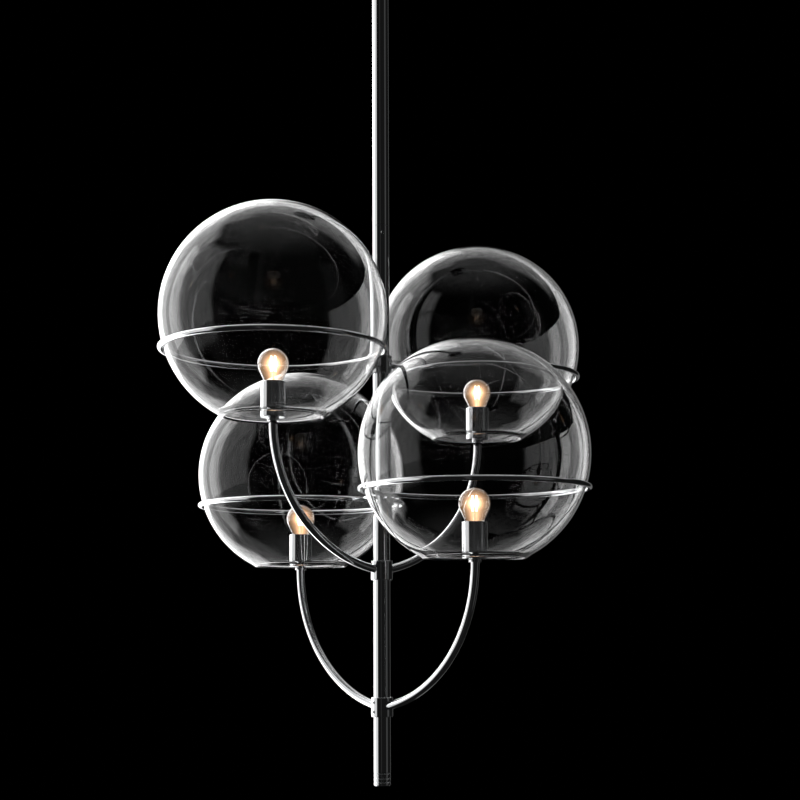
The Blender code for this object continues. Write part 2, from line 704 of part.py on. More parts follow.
def make_cup(name, axis_point, body):
    """Lampholder cup, the nut under it and the insert in it."""
    bore = ARM_RADIUS + CLEARANCE
    bottom = -CUP_BOTTOM_DROP
    profile = [
        (CUP_RADIUS, -CUP_TOP_DROP),
        (CUP_RADIUS, bottom + CUP_EDGE),
        (CUP_RADIUS - CUP_EDGE, bottom),
        (bore, bottom),
        (bore, bottom + CUP_FLOOR),
        (CUP_RADIUS - CUP_WALL, bottom + CUP_FLOOR),
        (CUP_RADIUS - CUP_WALL, -CUP_TOP_DROP),
    ]
    cup = turned(f"lamp_cup_{name}", profile, CUP_STEPS, CHROME)
    place(cup, axis_point, PLUS_X_AZIMUTH, body)
    nut_profile = tube_profile(ARM_NUT_RADIUS, bore, bottom - CLEARANCE, -NUT_BOTTOM_DROP, ARM_NUT_EDGE)
    nut = turned(f"arm_nut_{name}", nut_profile, CUP_STEPS, CHROME)
    place(nut, axis_point, PLUS_X_AZIMUTH, body)
    make_insert(name, axis_point, body)


def make_insert(name, axis_point, body):
    """Lampholder body: a well for the bulb's cap, a wire hole, and room for the arm's end."""
    outer = CUP_RADIUS - CUP_WALL - CLEARANCE
    top = -BULB_DROP - SKIRT_BOTTOM_DROP - CLEARANCE
    bottom = -CUP_BOTTOM_DROP + CUP_FLOOR + CLEARANCE
    cap_well = CAP_THREAD_RADIUS + HOLE_CLEARANCE
    well_floor = -BULB_DROP - CAP_BOTTOM_DROP - CAP_CONTACT_HEIGHT - CLEARANCE
    arm_well = ARM_RADIUS + HOLE_CLEARANCE
    arm_well_roof = -CUP_BOTTOM_DROP + ARM_TOP_INSET + HOLE_CLEARANCE
    profile = [
        (outer, top),
        (outer, bottom),
        (arm_well, bottom),
        (arm_well, arm_well_roof),
        (INSERT_PARTITION_HOLE_RADIUS, arm_well_roof),
        (INSERT_PARTITION_HOLE_RADIUS, well_floor),
        (cap_well, well_floor),
        (cap_well, top),
    ]
    insert = turned(f"lampholder_{name}", profile, INSERT_STEPS, HOLDER_PLASTIC)
    place(insert, axis_point, PLUS_X_AZIMUTH, body)


def bulb_section(radius, neck_radius, neck_drop):
    """Section of a bulb from its top, round the ball and down its cone to the neck."""
    distance = math.hypot(neck_radius, neck_drop)
    to_centre = math.atan2(neck_drop, -neck_radius)
    slope = to_centre - math.asin(radius / distance)
    last = math.pi / 2 + (math.pi / 2 - slope)
    points = []
    for index in range(BULB_BALL_POINTS):
        angle = last * index / (BULB_BALL_POINTS - 1)
        points.append((radius * math.sin(angle), radius * math.cos(angle)))
    points.append((neck_radius, -neck_drop))
    return points


def make_bulb(name, globe_centre, body):
    """Golf-ball bulb: its glass, its screw cap and its filament mount."""
    centre = Vector(globe_centre) - Vector((0.0, 0.0, BULB_DROP))
    outside = bulb_section(BULB_RADIUS, BULB_NECK_RADIUS, BULB_NECK_DROP)
    inner_radius = BULB_RADIUS - BULB_WALL
    inside = bulb_section(inner_radius, BULB_NECK_RADIUS - BULB_WALL, BULB_NECK_DROP)
    profile = outside + list(reversed(inside))
    glass = turned(f"bulb_glass_{name}", profile, BULB_STEPS, BULB_GLASS, closed=False)
    place(glass, centre, PLUS_X_AZIMUTH, body)
    make_bulb_cap(name, centre, body)
    make_filament(name, centre, body)


def make_bulb_cap(name, centre, body):
    """Screw cap with a skirt round the neck, a thread stretch and a contact."""
    cone_top, cone_foot = bulb_section(BULB_RADIUS, BULB_NECK_RADIUS, BULB_NECK_DROP)[-2:]
    flare = (cone_top[0] - cone_foot[0]) / (cone_top[1] - cone_foot[1])
    skirt_inner = BULB_NECK_RADIUS + (BULB_NECK_DROP - CAP_SKIRT_TOP_DROP) * flare + CLEARANCE
    skirt_outer = skirt_inner + CAP_SKIRT_WALL
    seat = -BULB_NECK_DROP - CLEARANCE
    contact_bottom = -CAP_BOTTOM_DROP - CAP_CONTACT_HEIGHT
    profile = [
        (0.0, -CAP_WELL_FLOOR_DROP),
        (CAP_WELL_RADIUS, -CAP_WELL_FLOOR_DROP),
        (CAP_WELL_RADIUS, seat),
        (skirt_inner, seat),
        (skirt_inner, -CAP_SKIRT_TOP_DROP),
        (skirt_outer, -CAP_SKIRT_TOP_DROP),
        (skirt_outer, -SKIRT_BOTTOM_DROP),
        (CAP_THREAD_RADIUS, -SKIRT_BOTTOM_DROP),
        (CAP_THREAD_RADIUS, -CAP_BOTTOM_DROP),
        (CAP_CONTACT_RADIUS, -CAP_BOTTOM_DROP),
        (CAP_CONTACT_RADIUS, contact_bottom),
        (0.0, contact_bottom),
    ]
    cap = turned(f"bulb_cap_{name}", profile, BULB_STEPS, BRASS, closed=False)
    place(cap, centre, PLUS_X_AZIMUTH, body)


def make_filament(name, centre, body):
    """Stalk with a foot in the cap, and glowing sticks between two small plates."""
    foot = -CAP_WELL_FLOOR_DROP + CLEARANCE
    plate = FILAMENT_PLATE_THICKNESS
    top = FILAMENT_TOP_RISE
    low = -FILAMENT_BOTTOM_DROP
    stalk = FILAMENT_STALK_RADIUS
    profile = [
        (0.0, top),
        (FILAMENT_PLATE_RADIUS, top),
        (FILAMENT_PLATE_RADIUS, top - plate),
        (stalk, top - plate),
        (stalk, low + plate),
        (FILAMENT_PLATE_RADIUS, low + plate),
        (FILAMENT_PLATE_RADIUS, low),
        (stalk, low),
        (stalk, foot + FILAMENT_FOOT_HEIGHT),
        (FILAMENT_FOOT_RADIUS, foot + FILAMENT_FOOT_HEIGHT),
        (FILAMENT_FOOT_RADIUS, foot),
        (0.0, foot),
    ]
    mount = turned(f"filament_mount_{name}", profile, FILAMENT_STEPS, FILAMENT, closed=False)
    place(mount, centre, PLUS_X_AZIMUTH, body)
    for index in range(FILAMENT_STICKS):
        spoke = direction(360 * index / FILAMENT_STICKS) * FILAMENT_STICK_CIRCLE
        start = centre + spoke + Vector((0.0, 0.0, low + plate / 2))
        end = centre + spoke + Vector((0.0, 0.0, top - plate / 2))
        stick_name = f"filament_stick_{name}_{index}"
        stick = cutter_rod(stick_name, FILAMENT_STICK_RADIUS, start, end, FILAMENT_STICK_SIDES)
        boolean(mount, stick, "UNION")


def make_tier(tier, globe_z, azimuths):
    """One tier: two collars, two rings, two arms, two cups, two bulbs and two globes."""
    ring_z = globe_z - RING_DROP
    arm_z = globe_z - ARM_COLLAR_DROP
    body = pivot(f"{tier}_tier_pivot", (0.0, 0.0, arm_z))
    screw_azimuth = min(azimuths.values(), key=abs) - 90
    ring_collar = make_collar(
        f"{tier}_ring_collar", ring_z, COLLAR_RADIUS, RING_COLLAR_HEIGHT, screw_azimuth, (0.0,), body
    )
    offsets = (GRUB_SPACING / 2, -GRUB_SPACING / 2)
    arm_collar = make_collar(
        f"{tier}_arm_collar", arm_z, COLLAR_RADIUS, ARM_COLLAR_HEIGHT, screw_azimuth, offsets, body
    )
    for name, azimuth in azimuths.items():
        outward = direction(azimuth)
        centre = outward * GLOBE_AXIS_RADIUS + Vector((0.0, 0.0, globe_z))
        hub = Vector((0.0, 0.0, ring_z))
        start = hub + outward * (SLEEVE_RADIUS - CUT_OVERRUN)
        end = hub + outward * (COLLAR_RADIUS + CUT_OVERRUN)
        boolean(ring_collar, cutter_rod(f"stub_hole_{name}", RING_STUB_RADIUS + HOLE_CLEARANCE, start, end))
        make_ring(name, centre - Vector((0.0, 0.0, RING_DROP)), azimuth, body)
        make_arm(name, arm_z, azimuth, arm_collar, body)
        make_cup(name, centre, body)
        lift = pivot(f"globe_{name}_lift", centre)
        make_globe(name, centre, azimuth, lift)
        make_bulb(name, centre, pivot(f"bulb_{name}_axis", centre))


def main():
    """Build the whole light."""
    make_bracket()
    hanger_holes = make_hanger()
    make_terminal_block()
    canopy_body = pivot("canopy_slide", (0.0, 0.0, CANOPY_COLLAR_TOP_Z))
    make_canopy(canopy_body)
    collar_z = CANOPY_COLLAR_TOP_Z - CANOPY_COLLAR_HEIGHT / 2
    make_collar(
        "canopy_collar",
        collar_z,
        CANOPY_COLLAR_RADIUS,
        CANOPY_COLLAR_HEIGHT,
        CANOPY_SCREW_AZIMUTH,
        (0.0,),
        canopy_body,
    )
    make_stem(hanger_holes)
    make_tier("upper", UPPER_GLOBE_Z, UPPER_AZIMUTHS)
    make_tier("lower", LOWER_GLOBE_Z, LOWER_AZIMUTHS)


main()
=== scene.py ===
"""Finished pieces of a pendant light with four clear glass globes on two tiers of curved arms.

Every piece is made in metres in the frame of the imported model: the origin is on the ceiling,
+Z is up and the hanging tube runs down the Z axis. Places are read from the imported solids, and
the sizes and colours that a user would change are in the property groups below.
"""

import math

import bmesh
import bpy
from bpy.props import FloatProperty, FloatVectorProperty, IntProperty, PointerProperty
from mathutils import Matrix, Vector


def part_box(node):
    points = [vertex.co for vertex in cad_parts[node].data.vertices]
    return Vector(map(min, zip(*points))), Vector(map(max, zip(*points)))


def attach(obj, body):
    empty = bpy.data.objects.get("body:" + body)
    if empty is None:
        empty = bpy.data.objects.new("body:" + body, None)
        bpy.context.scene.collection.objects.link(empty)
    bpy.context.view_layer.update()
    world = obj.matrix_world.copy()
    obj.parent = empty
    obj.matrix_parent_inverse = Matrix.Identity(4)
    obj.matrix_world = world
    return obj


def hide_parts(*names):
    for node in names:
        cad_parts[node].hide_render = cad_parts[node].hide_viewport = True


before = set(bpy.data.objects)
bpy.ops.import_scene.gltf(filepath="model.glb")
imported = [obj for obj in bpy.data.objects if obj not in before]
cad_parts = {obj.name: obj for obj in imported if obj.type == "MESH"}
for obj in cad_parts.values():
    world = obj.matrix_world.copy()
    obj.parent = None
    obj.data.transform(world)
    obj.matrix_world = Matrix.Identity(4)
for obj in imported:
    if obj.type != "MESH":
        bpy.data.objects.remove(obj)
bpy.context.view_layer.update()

bl_info = {
    "name": "Globe Pendant Light",
    "version": (1, 0, 0),
    "blender": (4, 5, 0),
    "location": "3D View > Sidebar > Pendant",
    "description": "Builds the finished pieces of a pendant light with glass globes",
    "category": "Add Mesh",
}

# Names, directions, and the angles, distances and steps that meshes are made with
UP = Vector((0.0, 0.0, 1.0))
GLOBES = ("upper_front", "upper_rear", "lower_front", "lower_rear")
TIERS = ("upper", "lower")
MERGE = 0.000002
SHARP_ANGLE = math.radians(32)
CORNER_ANGLE = math.radians(60)
CUTTER_REACH = 0.004
SMALL_SIDES = 32
ROD_SIDES = 20
ARM_SIDES = 24
ARM_STEPS = 64
BULB_ROWS = 28
STICK_STEPS = 12
THREAD_TURNS = 6

# Fits between pieces, in metres
GAP = 0.0003
BORE_FIT = 0.00015
HOLE_FIT = 0.0002
SCREW_FIT = 0.00035
WELL_FIT = 0.0006
STUB_CLEARANCE = 0.0006
ARM_CLEARANCE = 0.0022

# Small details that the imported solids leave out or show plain, in metres
TUBE_WALL = 0.0015
STUB_TAPER = 0.004
NUT_GROOVE_HALF = 0.0005
NUT_GROOVE_DEPTH = 0.0004
SET_SCREW_LEAST = 0.0028
SOCKET_SHARE = 0.52
SOCKET_DEPTH = 0.0014
ARM_WIRE_HOLE = 0.0045
JOINT_SCREW_HOLE = 0.0021
PIN_HOLE = 0.0026
PIN_RADIUS = 0.002
CABLE_HOLE = 0.0035
CABLE_DROP = 0.0085
SUPPLY_HOLE = 0.006
SUPPLY_PLACE = Vector((0.028, 0.0, 0.0))
BRACKET_HOLE = 0.0031
WIRE_ENTRY = 0.0016
SCREW_WELL = 0.0018
END_GROOVES = (0.0112, 0.0055)
END_GROOVE_DEPTH = 0.0009
BULB_NECK_RADIUS = 0.009
BULB_NECK_DROP = 0.034
STICK_RADIUS = 0.00145
THREAD_DEPTH = 0.0009


def middle(node):
    """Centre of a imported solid."""
    low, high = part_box(node)
    return (low + high) / 2


def extent(node):
    """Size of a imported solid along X, Y and Z."""
    low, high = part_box(node)
    return high - low


def span(node):
    """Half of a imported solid's width along X, and its lowest and highest heights."""
    low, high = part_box(node)
    return (high.x - low.x) / 2, low.z, high.z


def low_z(node):
    """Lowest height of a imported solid."""
    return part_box(node)[0].z


def high_z(node):
    """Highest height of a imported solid."""
    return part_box(node)[1].z


def axis_of(name):
    """Where a globe's upright axis stands, at height zero."""
    place = middle(f"glass_globe_{name}")
    return Vector((place.x, place.y, 0.0))


def outward_of(name):
    """Unit direction from the hanging tube to a globe."""
    return axis_of(name).normalized()


def tier_of(name):
    """Tier that a globe belongs to."""
    return name.split("_")[0]


TUBE_RADIUS = extent("upper_stem_tube").x / 2
GLOBE_RADIUS = extent("glass_globe_upper_front").x / 2
COLLAR_RADIUS = extent("upper_ring_collar").x / 2


class PendantSizes(bpy.types.PropertyGroup):
    """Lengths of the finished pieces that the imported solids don't give."""

    glass_wall: FloatProperty(
        name="Glass Wall", description="Wall of a globe", default=0.0025, unit="LENGTH"
    )
    mouth_radius: FloatProperty(
        name="Mouth Radius", description="Radius of a globe's opening", default=0.072, unit="LENGTH"
    )
    lip_radius: FloatProperty(
        name="Lip Radius", description="Radius of the rolled lip", default=0.0022, unit="LENGTH"
    )
    ring_radius: FloatProperty(
        name="Ring Radius", description="Radius to a rod's centre", default=0.16179, unit="LENGTH"
    )
    rod_radius: FloatProperty(
        name="Rod Radius", description="Radius of a ring's rod", default=0.0038, unit="LENGTH"
    )
    stub_radius: FloatProperty(
        name="Stub Radius", description="Radius of a ring's stub", default=0.0048, unit="LENGTH"
    )
    arm_radius: FloatProperty(
        name="Arm Radius", description="Radius of a curved arm", default=0.006, unit="LENGTH"
    )
    arm_sag: FloatProperty(
        name="Arm Sag", description="An arm's depth as a share of its rise", default=1.008, min=1.0
    )
    bulb_radius: FloatProperty(
        name="Bulb Radius", description="Radius of a bulb's ball", default=0.0225, unit="LENGTH"
    )
    round_steps: IntProperty(
        name="Round Steps", description="Steps round a globe or a ring", default=128, min=16
    )
    small_steps: IntProperty(
        name="Small Steps", description="Steps round a tube, a cup or a bulb", default=56, min=12
    )


class PendantColours(bpy.types.PropertyGroup):
    """Colours of the finishes and of the light."""

    chrome: FloatVectorProperty(
        name="Chrome", description="Polished chrome", subtype="COLOR", default=(0.82, 0.83, 0.84)
    )
    steel: FloatVectorProperty(
        name="Steel", description="Plated steel", subtype="COLOR", default=(0.52, 0.53, 0.54)
    )
    glass: FloatVectorProperty(
        name="Glass", description="Clear blown glass", subtype="COLOR", default=(1.0, 1.0, 1.0)
    )
    cap: FloatVectorProperty(
        name="Cap", description="Plated brass caps", subtype="COLOR", default=(0.76, 0.66, 0.46)
    )
    holder: FloatVectorProperty(
        name="Holder", description="Moulded holders", subtype="COLOR", default=(0.80, 0.78, 0.73)
    )
    nylon: FloatVectorProperty(
        name="Nylon", description="Terminal block", subtype="COLOR", default=(0.80, 0.80, 0.78)
    )
    glow: FloatVectorProperty(
        name="Glow", description="Filament light", subtype="COLOR", default=(1.0, 0.80, 0.56)
    )
    # Colour of the glow painted on the bulbs' glass, which stands in for the filament's glare
    painted_bulb_glow: FloatVectorProperty(
        name="Halo", description="Haze in the bulbs", subtype="COLOR", default=(1.0, 0.58, 0.32)
    )
    floor: FloatVectorProperty(
        name="Floor", description="Pale floor", subtype="COLOR", default=(0.72, 0.72, 0.71)
    )
    backdrop: FloatVectorProperty(
        name="Backdrop", description="Plain backdrop", subtype="COLOR", default=(0.0, 0.0, 0.0)
    )


# Materials

# Strengths of the light from the filaments' sticks, and of the glow painted on the bulbs' glass:
# its range from edge to middle, and its extra at the middle
STICK_STRENGTHS = (3.4, 4.6)
PAINTED_GLOW_STRENGTHS = (0.022, 0.58)
PAINTED_CORE_STRENGTH = 1.9
MIRROR_SHARE = 0.05


def feed(tree, node, inputs):
    """Put values, or links from other nodes' outputs, on a node's inputs."""
    for name, value in inputs.items():
        if isinstance(value, bpy.types.NodeSocket):
            tree.links.new(value, node.inputs[name])
        else:
            node.inputs[name].default_value = value
    return node


def add_node(tree, kind, inputs, **settings):
    """New shader node with its settings and its inputs."""
    node = tree.nodes.new(f"ShaderNode{kind}")
    for name, value in settings.items():
        setattr(node, name, value)
    return feed(tree, node, inputs)


def combine(tree, operation, first, second=None):
    """Math node on sockets or numbers; returns its value socket."""
    operands = {0: first} if second is None else {0: first, 1: second}
    return add_node(tree, "Math", operands, operation=operation).outputs["Value"]


def remap(tree, source, low, high, new_low, new_high, smooth=False):
    """Carry a value's range to another range; returns the node's value socket."""
    ranges = {"From Min": low, "From Max": high, "To Min": new_low, "To Max": new_high}
    kind = "SMOOTHSTEP" if smooth else "LINEAR"
    node = add_node(tree, "MapRange", {"Value": source, **ranges}, interpolation_type=kind)
    return node.outputs["Result"]


def blend(tree, factor, first, second):
    """Mix two colours, or values that are used as greys, by a factor; returns the colour socket."""
    inputs = {"Factor": factor, "A": first, "B": second}
    return add_node(tree, "Mix", inputs, data_type="RGBA").outputs["Result"]


def noise(tree, scale, detail=3.0, stretch=(1.0, 1.0, 1.0), space="Object"):
    """Noise on the piece's own coordinates; returns the node's value socket."""
    coordinates = add_node(tree, "TexCoord", {}).outputs[space]
    mapping = add_node(tree, "Mapping", {"Vector": coordinates, "Scale": stretch})
    inputs = {"Vector": mapping.outputs["Vector"], "Scale": scale, "Detail": detail}
    return add_node(tree, "TexNoise", inputs).outputs["Fac"]


def shaded(colour, share):
    """Same colour, lighter or darker."""
    return tuple(min(1.0, value * share) for value in colour)


def tones(tree, source, colour, dark, light):
    """Darker and lighter tones of a colour, mixed by a value; returns the colour socket."""
    return blend(tree, source, (*shaded(colour, dark), 1.0), (*shaded(colour, light), 1.0))


def bump(tree, source, distance, strength):
    """Surface raised by a value; returns the normal socket."""
    inputs = {"Height": source, "Distance": distance, "Strength": strength}
    return add_node(tree, "Bump", inputs).outputs["Normal"]


def dimmed_in_mirrors(tree, strength):
    """Light that shows only faintly in mirror-like surfaces; returns the value socket."""
    path = add_node(tree, "LightPath", {})
    share = remap(tree, path.outputs["Glossy Depth"], 0.0, 1.0, 1.0, MIRROR_SHARE)
    return combine(tree, "MULTIPLY", strength, share)


def start_material(name, colour, roughness, metallic=0.0):
    """New Principled material, with its node tree and its shader."""
    material = bpy.data.materials.new(name)
    material.use_nodes = True
    tree = material.node_tree
    shader = tree.nodes["Principled BSDF"]
    inputs = {"Base Color": (*colour, 1.0), "Roughness": roughness, "Metallic": metallic}
    return material, tree, feed(tree, shader, inputs)


def make_chrome(colours):
    """Polished chrome with faint wipe marks."""
    material, tree, shader = start_material("polished_chrome", colours.chrome, 0.04, 1.0)
    feed(tree, shader, {
        "Roughness": remap(tree, noise(tree, 22.0, 5.0), 0.35, 0.75, 0.02, 0.085),
        "Normal": bump(tree, noise(tree, 60.0, 2.0), 0.00004, 0.35),
    })
    return material


def make_satin_chrome(colours):
    """Chrome over a finely turned surface."""
    material, tree, shader = start_material("satin_chrome", colours.chrome, 0.16, 1.0)
    rings = noise(tree, 60.0, 2.0, (1.0, 1.0, 90.0))
    feed(tree, shader, {
        "Roughness": remap(tree, rings, 0.3, 0.7, 0.12, 0.22),
        "Normal": bump(tree, rings, 0.00003, 0.4),
    })
    return material


def make_steel(colours):
    """Plated steel with a drawn grain."""
    material, tree, shader = start_material("plated_steel", colours.steel, 0.32, 1.0)
    grain = noise(tree, 90.0, 6.0, (1.0, 1.0, 12.0))
    feed(tree, shader, {
        "Roughness": remap(tree, grain, 0.3, 0.7, 0.24, 0.42),
        "Base Color": tones(tree, noise(tree, 30.0), colours.steel, 0.88, 1.1),
        "Normal": bump(tree, grain, 0.00005, 0.4),
    })
    return material


def make_dark_steel(colours):
    """Blackened steel of the set screws."""
    dark = shaded(colours.steel, 0.5)
    material, tree, shader = start_material("set_screw_steel", dark, 0.35, 1.0)
    feed(tree, shader, {"Roughness": remap(tree, noise(tree, 400.0), 0.3, 0.7, 0.25, 0.5)})
    return material


def make_glass(colours):
    """Clear blown glass with a slow ripple."""
    material, tree, shader = start_material("clear_glass", colours.glass, 0.0)
    ripple = noise(tree, 7.0, 1.0, (1.0, 1.0, 2.2))
    feed(tree, shader, {
        "Transmission Weight": 1.0,
        "IOR": 1.35,
        "Normal": bump(tree, ripple, 0.0012, 0.25),
    })
    return material


def make_bulb_glass(colours):
    """Clear thin glass with a warm glow painted into it, white in the middle, which stands in for
    the filament's glare.
    """
    material, tree, shader = start_material("bulb_glass", (1.0, 0.98, 0.95), 0.0)
    # Painted glow: the glass gives off light, most where it faces the view, in place of the
    # filament's glare
    sideways = add_node(tree, "LayerWeight", {"Blend": 0.5}).outputs["Facing"]
    facing = combine(tree, "SUBTRACT", 1.0, sideways)
    painted_glow = remap(tree, combine(tree, "POWER", facing, 9.0), 0.0, 1.0, *PAINTED_GLOW_STRENGTHS)
    painted_core_glow = combine(tree, "MULTIPLY", combine(tree, "POWER", facing, 50.0), PAINTED_CORE_STRENGTH)
    feed(tree, shader, {
        "Transmission Weight": 1.0,
        "IOR": 1.47,
        "Emission Color": (*colours.painted_bulb_glow, 1.0),
        "Emission Strength": dimmed_in_mirrors(tree, combine(tree, "ADD", painted_glow, painted_core_glow)),
        "Normal": bump(tree, noise(tree, 40.0, 1.0), 0.0002, 0.2),
    })
    return material


def make_filament_glow(colours):
    """White-hot filament sticks."""
    material, tree, shader = start_material("filament_glow", colours.glow, 0.5)
    flicker = remap(tree, noise(tree, 900.0, 1.0), 0.3, 0.7, *STICK_STRENGTHS)
    feed(tree, shader, {
        "Emission Color": (*colours.glow, 1.0),
        "Emission Strength": dimmed_in_mirrors(tree, flicker),
    })
    return material


def make_cap_metal(colours):
    """Dull plated brass of the bulbs' screw caps."""
    material, tree, shader = start_material("cap_metal", colours.cap, 0.28, 1.0)
    patches = noise(tree, 120.0, 4.0)
    feed(tree, shader, {
        "Roughness": remap(tree, patches, 0.3, 0.7, 0.2, 0.4),
        "Base Color": tones(tree, patches, colours.cap, 0.85, 1.08),
    })
    return material


def make_moulded(name, colour):
    """Moulded plastic with a fine texture."""
    material, tree, shader = start_material(name, colour, 0.45)
    speckle = noise(tree, 500.0)
    feed(tree, shader, {
        "Base Color": tones(tree, speckle, colour, 0.93, 1.04),
        "Roughness": remap(tree, speckle, 0.3, 0.7, 0.38, 0.55),
        "Normal": bump(tree, speckle, 0.00006, 0.4),
    })
    return material


def make_floor_paint(colours):
    """Matt floor paint with a very faint mottle, which fades into the backdrop far out."""
    material, tree, shader = start_material("pale_floor", colours.floor, 0.8)
    bounces = add_node(tree, "LightPath", {}).outputs["Glossy Depth"]
    mirrored = combine(tree, "GREATER_THAN", bounces, 0.5)
    place = add_node(tree, "TexCoord", {}).outputs["Object"]
    distance = add_node(tree, "VectorMath", {0: place}, operation="LENGTH").outputs["Value"]
    far = remap(tree, distance, *FLOOR_FADE, 0.0, 1.0, smooth=True)
    paint = tones(tree, noise(tree, 2.0), colours.floor, 0.97, 1.02)
    hidden = combine(tree, "MAXIMUM", mirrored, far)
    feed(tree, shader, {
        "Base Color": blend(tree, hidden, paint, (*colours.backdrop, 1.0)),
        "Specular IOR Level": 0.0,
    })
    return material


MATERIAL_MAKERS = {
    "chrome": make_chrome,
    "satin_chrome": make_satin_chrome,
    "steel": make_steel,
    "set_screw": make_dark_steel,
    "clear_glass": make_glass,
    "bulb_glass": make_bulb_glass,
    "filament": make_filament_glow,
    "brass": make_cap_metal,
    "holder_plastic": lambda colours: make_moulded("moulded_holder", colours.holder),
    "nylon": lambda colours: make_moulded("moulded_nylon", colours.nylon),
    "floor": make_floor_paint,
}
made_materials = {}


def material_for(finish):
    """Material of a finish, made the first time that it is asked for."""
    if finish not in made_materials:
        made_materials[finish] = MATERIAL_MAKERS[finish](bpy.context.scene.pendant_colours)
    return made_materials[finish]


# Shapes


def frame_matrix(origin, along, side):
    """Matrix that puts +Z along a direction at a place, with +X to one side."""
    z_axis = Vector(along).normalized()
    x_axis = Vector(side).normalized()
    y_axis = z_axis.cross(x_axis).normalized()
    x_axis = y_axis.cross(z_axis)
    matrix = Matrix((x_axis, y_axis, z_axis)).transposed().to_4x4()
    matrix.translation = origin
    return matrix


def new_object(shape, name, matrix=None):
    """Turn a bmesh into an object at the origin, with its place in its mesh."""
    mesh = bpy.data.meshes.new(name)
    shape.to_mesh(mesh)
    shape.free()
    if matrix is not None:
        mesh.transform(matrix)
    piece = bpy.data.objects.new(name, mesh)
    bpy.context.scene.collection.objects.link(piece)
    return piece


def turned(name, profile, steps, matrix=None, closed=False, rounding=None):
    """New object turned about Z from a profile of (radius, height) points.

    A closed profile joins its last point to its first. Rounding is soften's offset and segments.
    """
    shape = bmesh.new()
    verts = [shape.verts.new((radius, 0.0, height)) for radius, height in profile]
    chain = verts + verts[:1] if closed else verts
    edges = [shape.edges.new(pair) for pair in zip(chain, chain[1:])]
    bmesh.ops.spin(
        shape,
        geom=verts + edges,
        cent=(0.0, 0.0, 0.0),
        axis=(0.0, 0.0, 1.0),
        angle=math.tau,
        steps=steps,
        use_merge=True,
        use_duplicate=False,
    )
    bmesh.ops.remove_doubles(shape, verts=shape.verts, dist=MERGE)
    bmesh.ops.recalc_face_normals(shape, faces=shape.faces)
    if rounding:
        soften(shape, *rounding)
    return new_object(shape, name, matrix)


def soften(shape, offset, segments):
    """Round every edge that is sharper than the corner angle."""
    edges = [
        edge
        for edge in shape.edges
        if edge.is_manifold and edge.calc_face_angle() > CORNER_ANGLE
    ]
    bmesh.ops.bevel(
        shape,
        geom=edges,
        offset=offset,
        offset_type="OFFSET",
        segments=segments,
        profile=0.5,
        affect="EDGES",
        clamp_overlap=True,
        material=-1,
    )


def sweep(shape, points, radius, sides, side_axis):
    """Round bar along points that lie in the plane square to side_axis."""
    frames = []
    for index, point in enumerate(points):
        before = points[max(0, index - 1)]
        after = points[min(len(points) - 1, index + 1)]
        frames.append(frame_matrix(point, after - before, side_axis))
    ring = bmesh.ops.create_circle(
        shape, cap_ends=False, segments=sides, radius=radius, matrix=frames[0]
    )
    first = list(dict.fromkeys(edge for vert in ring["verts"] for edge in vert.link_edges))
    edges = first
    for last_frame, next_frame in zip(frames, frames[1:]):
        made = bmesh.ops.extrude_edge_only(shape, edges=edges)["geom"]
        verts = [item for item in made if isinstance(item, bmesh.types.BMVert)]
        kept = set(verts)
        edges = [
            item
            for item in made
            if isinstance(item, bmesh.types.BMEdge) and kept.issuperset(item.verts)
        ]
        bmesh.ops.transform(shape, matrix=next_frame @ last_frame.inverted(), verts=verts)
    bmesh.ops.contextual_create(shape, geom=first)
    bmesh.ops.contextual_create(shape, geom=edges)
    bmesh.ops.recalc_face_normals(shape, faces=shape.faces)


def cut(piece, cutters):
    """Take the cutters' shapes out of a piece, and remove the cutters."""
    for cutter in cutters:
        modifier = piece.modifiers.new("cut", "BOOLEAN")
        modifier.operation = "DIFFERENCE"
        modifier.solver = "EXACT"
        modifier.object = cutter
    bpy.context.view_layer.update()
    evaluated = piece.evaluated_get(bpy.context.evaluated_depsgraph_get())
    mesh = bpy.data.meshes.new_from_object(evaluated)
    piece.modifiers.clear()
    piece.data = mesh
    for cutter in cutters:
        bpy.data.objects.remove(cutter, do_unlink=True)


def across(direction):
    """Side direction for a matrix along a direction."""
    return UP if abs(direction.z) < 0.9 else Vector((1.0, 0.0, 0.0))


def bar_cutter(radius, start, end, sides=SMALL_SIDES):
    """Round cutter from one point to another."""
    shape = bmesh.new()
    along = end - start
    bmesh.ops.create_cone(
        shape,
        cap_ends=True,
        segments=sides,
        radius1=radius,
        radius2=radius,
        depth=along.length,
        matrix=frame_matrix((start + end) / 2, along, across(along.normalized())),
    )
    return new_object(shape, "cutter")


def cross_cutter(place, outward, reach, width, depth):
    """Cross-shaped bar that cuts a recess into a screw's head."""
    half = width / 2
    shape = bmesh.new()
    verts = []
    for quarter in range(4):
        rotation = Matrix.Rotation(math.radians(45 + 90 * quarter), 4, "Z")
        for corner in ((reach, -half), (reach, half), (half, half)):
            verts.append(shape.verts.new(rotation @ Vector((*corner, -depth))))
    face = shape.faces.new(verts)
    made = bmesh.ops.extrude_face_region(shape, geom=[face])["geom"]
    raised = [item for item in made if isinstance(item, bmesh.types.BMVert)]
    bmesh.ops.translate(shape, vec=(0.0, 0.0, depth * 2), verts=raised)
    bmesh.ops.recalc_face_normals(shape, faces=shape.faces)
    return new_object(shape, "cutter", frame_matrix(place, outward, across(outward)))


def box_shape(centre, size):
    """Bmesh of a box."""
    shape = bmesh.new()
    matrix = Matrix.Translation(centre) @ Matrix.Diagonal((*size, 1.0))
    bmesh.ops.create_cube(shape, matrix=matrix)
    return shape


def finish_piece(piece, body, node, finish):
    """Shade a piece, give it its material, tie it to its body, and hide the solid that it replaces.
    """
    piece.data.materials.clear()
    piece.data.materials.append(material_for(finish))
    piece.data.shade_smooth()
    piece.data.set_sharp_from_angle(angle=SHARP_ANGLE)
    weighted = piece.modifiers.new("even_shading", "WEIGHTED_NORMAL")
    weighted.keep_sharp = True
    weighted.weight = 80
    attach(piece, body)
    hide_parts(node)


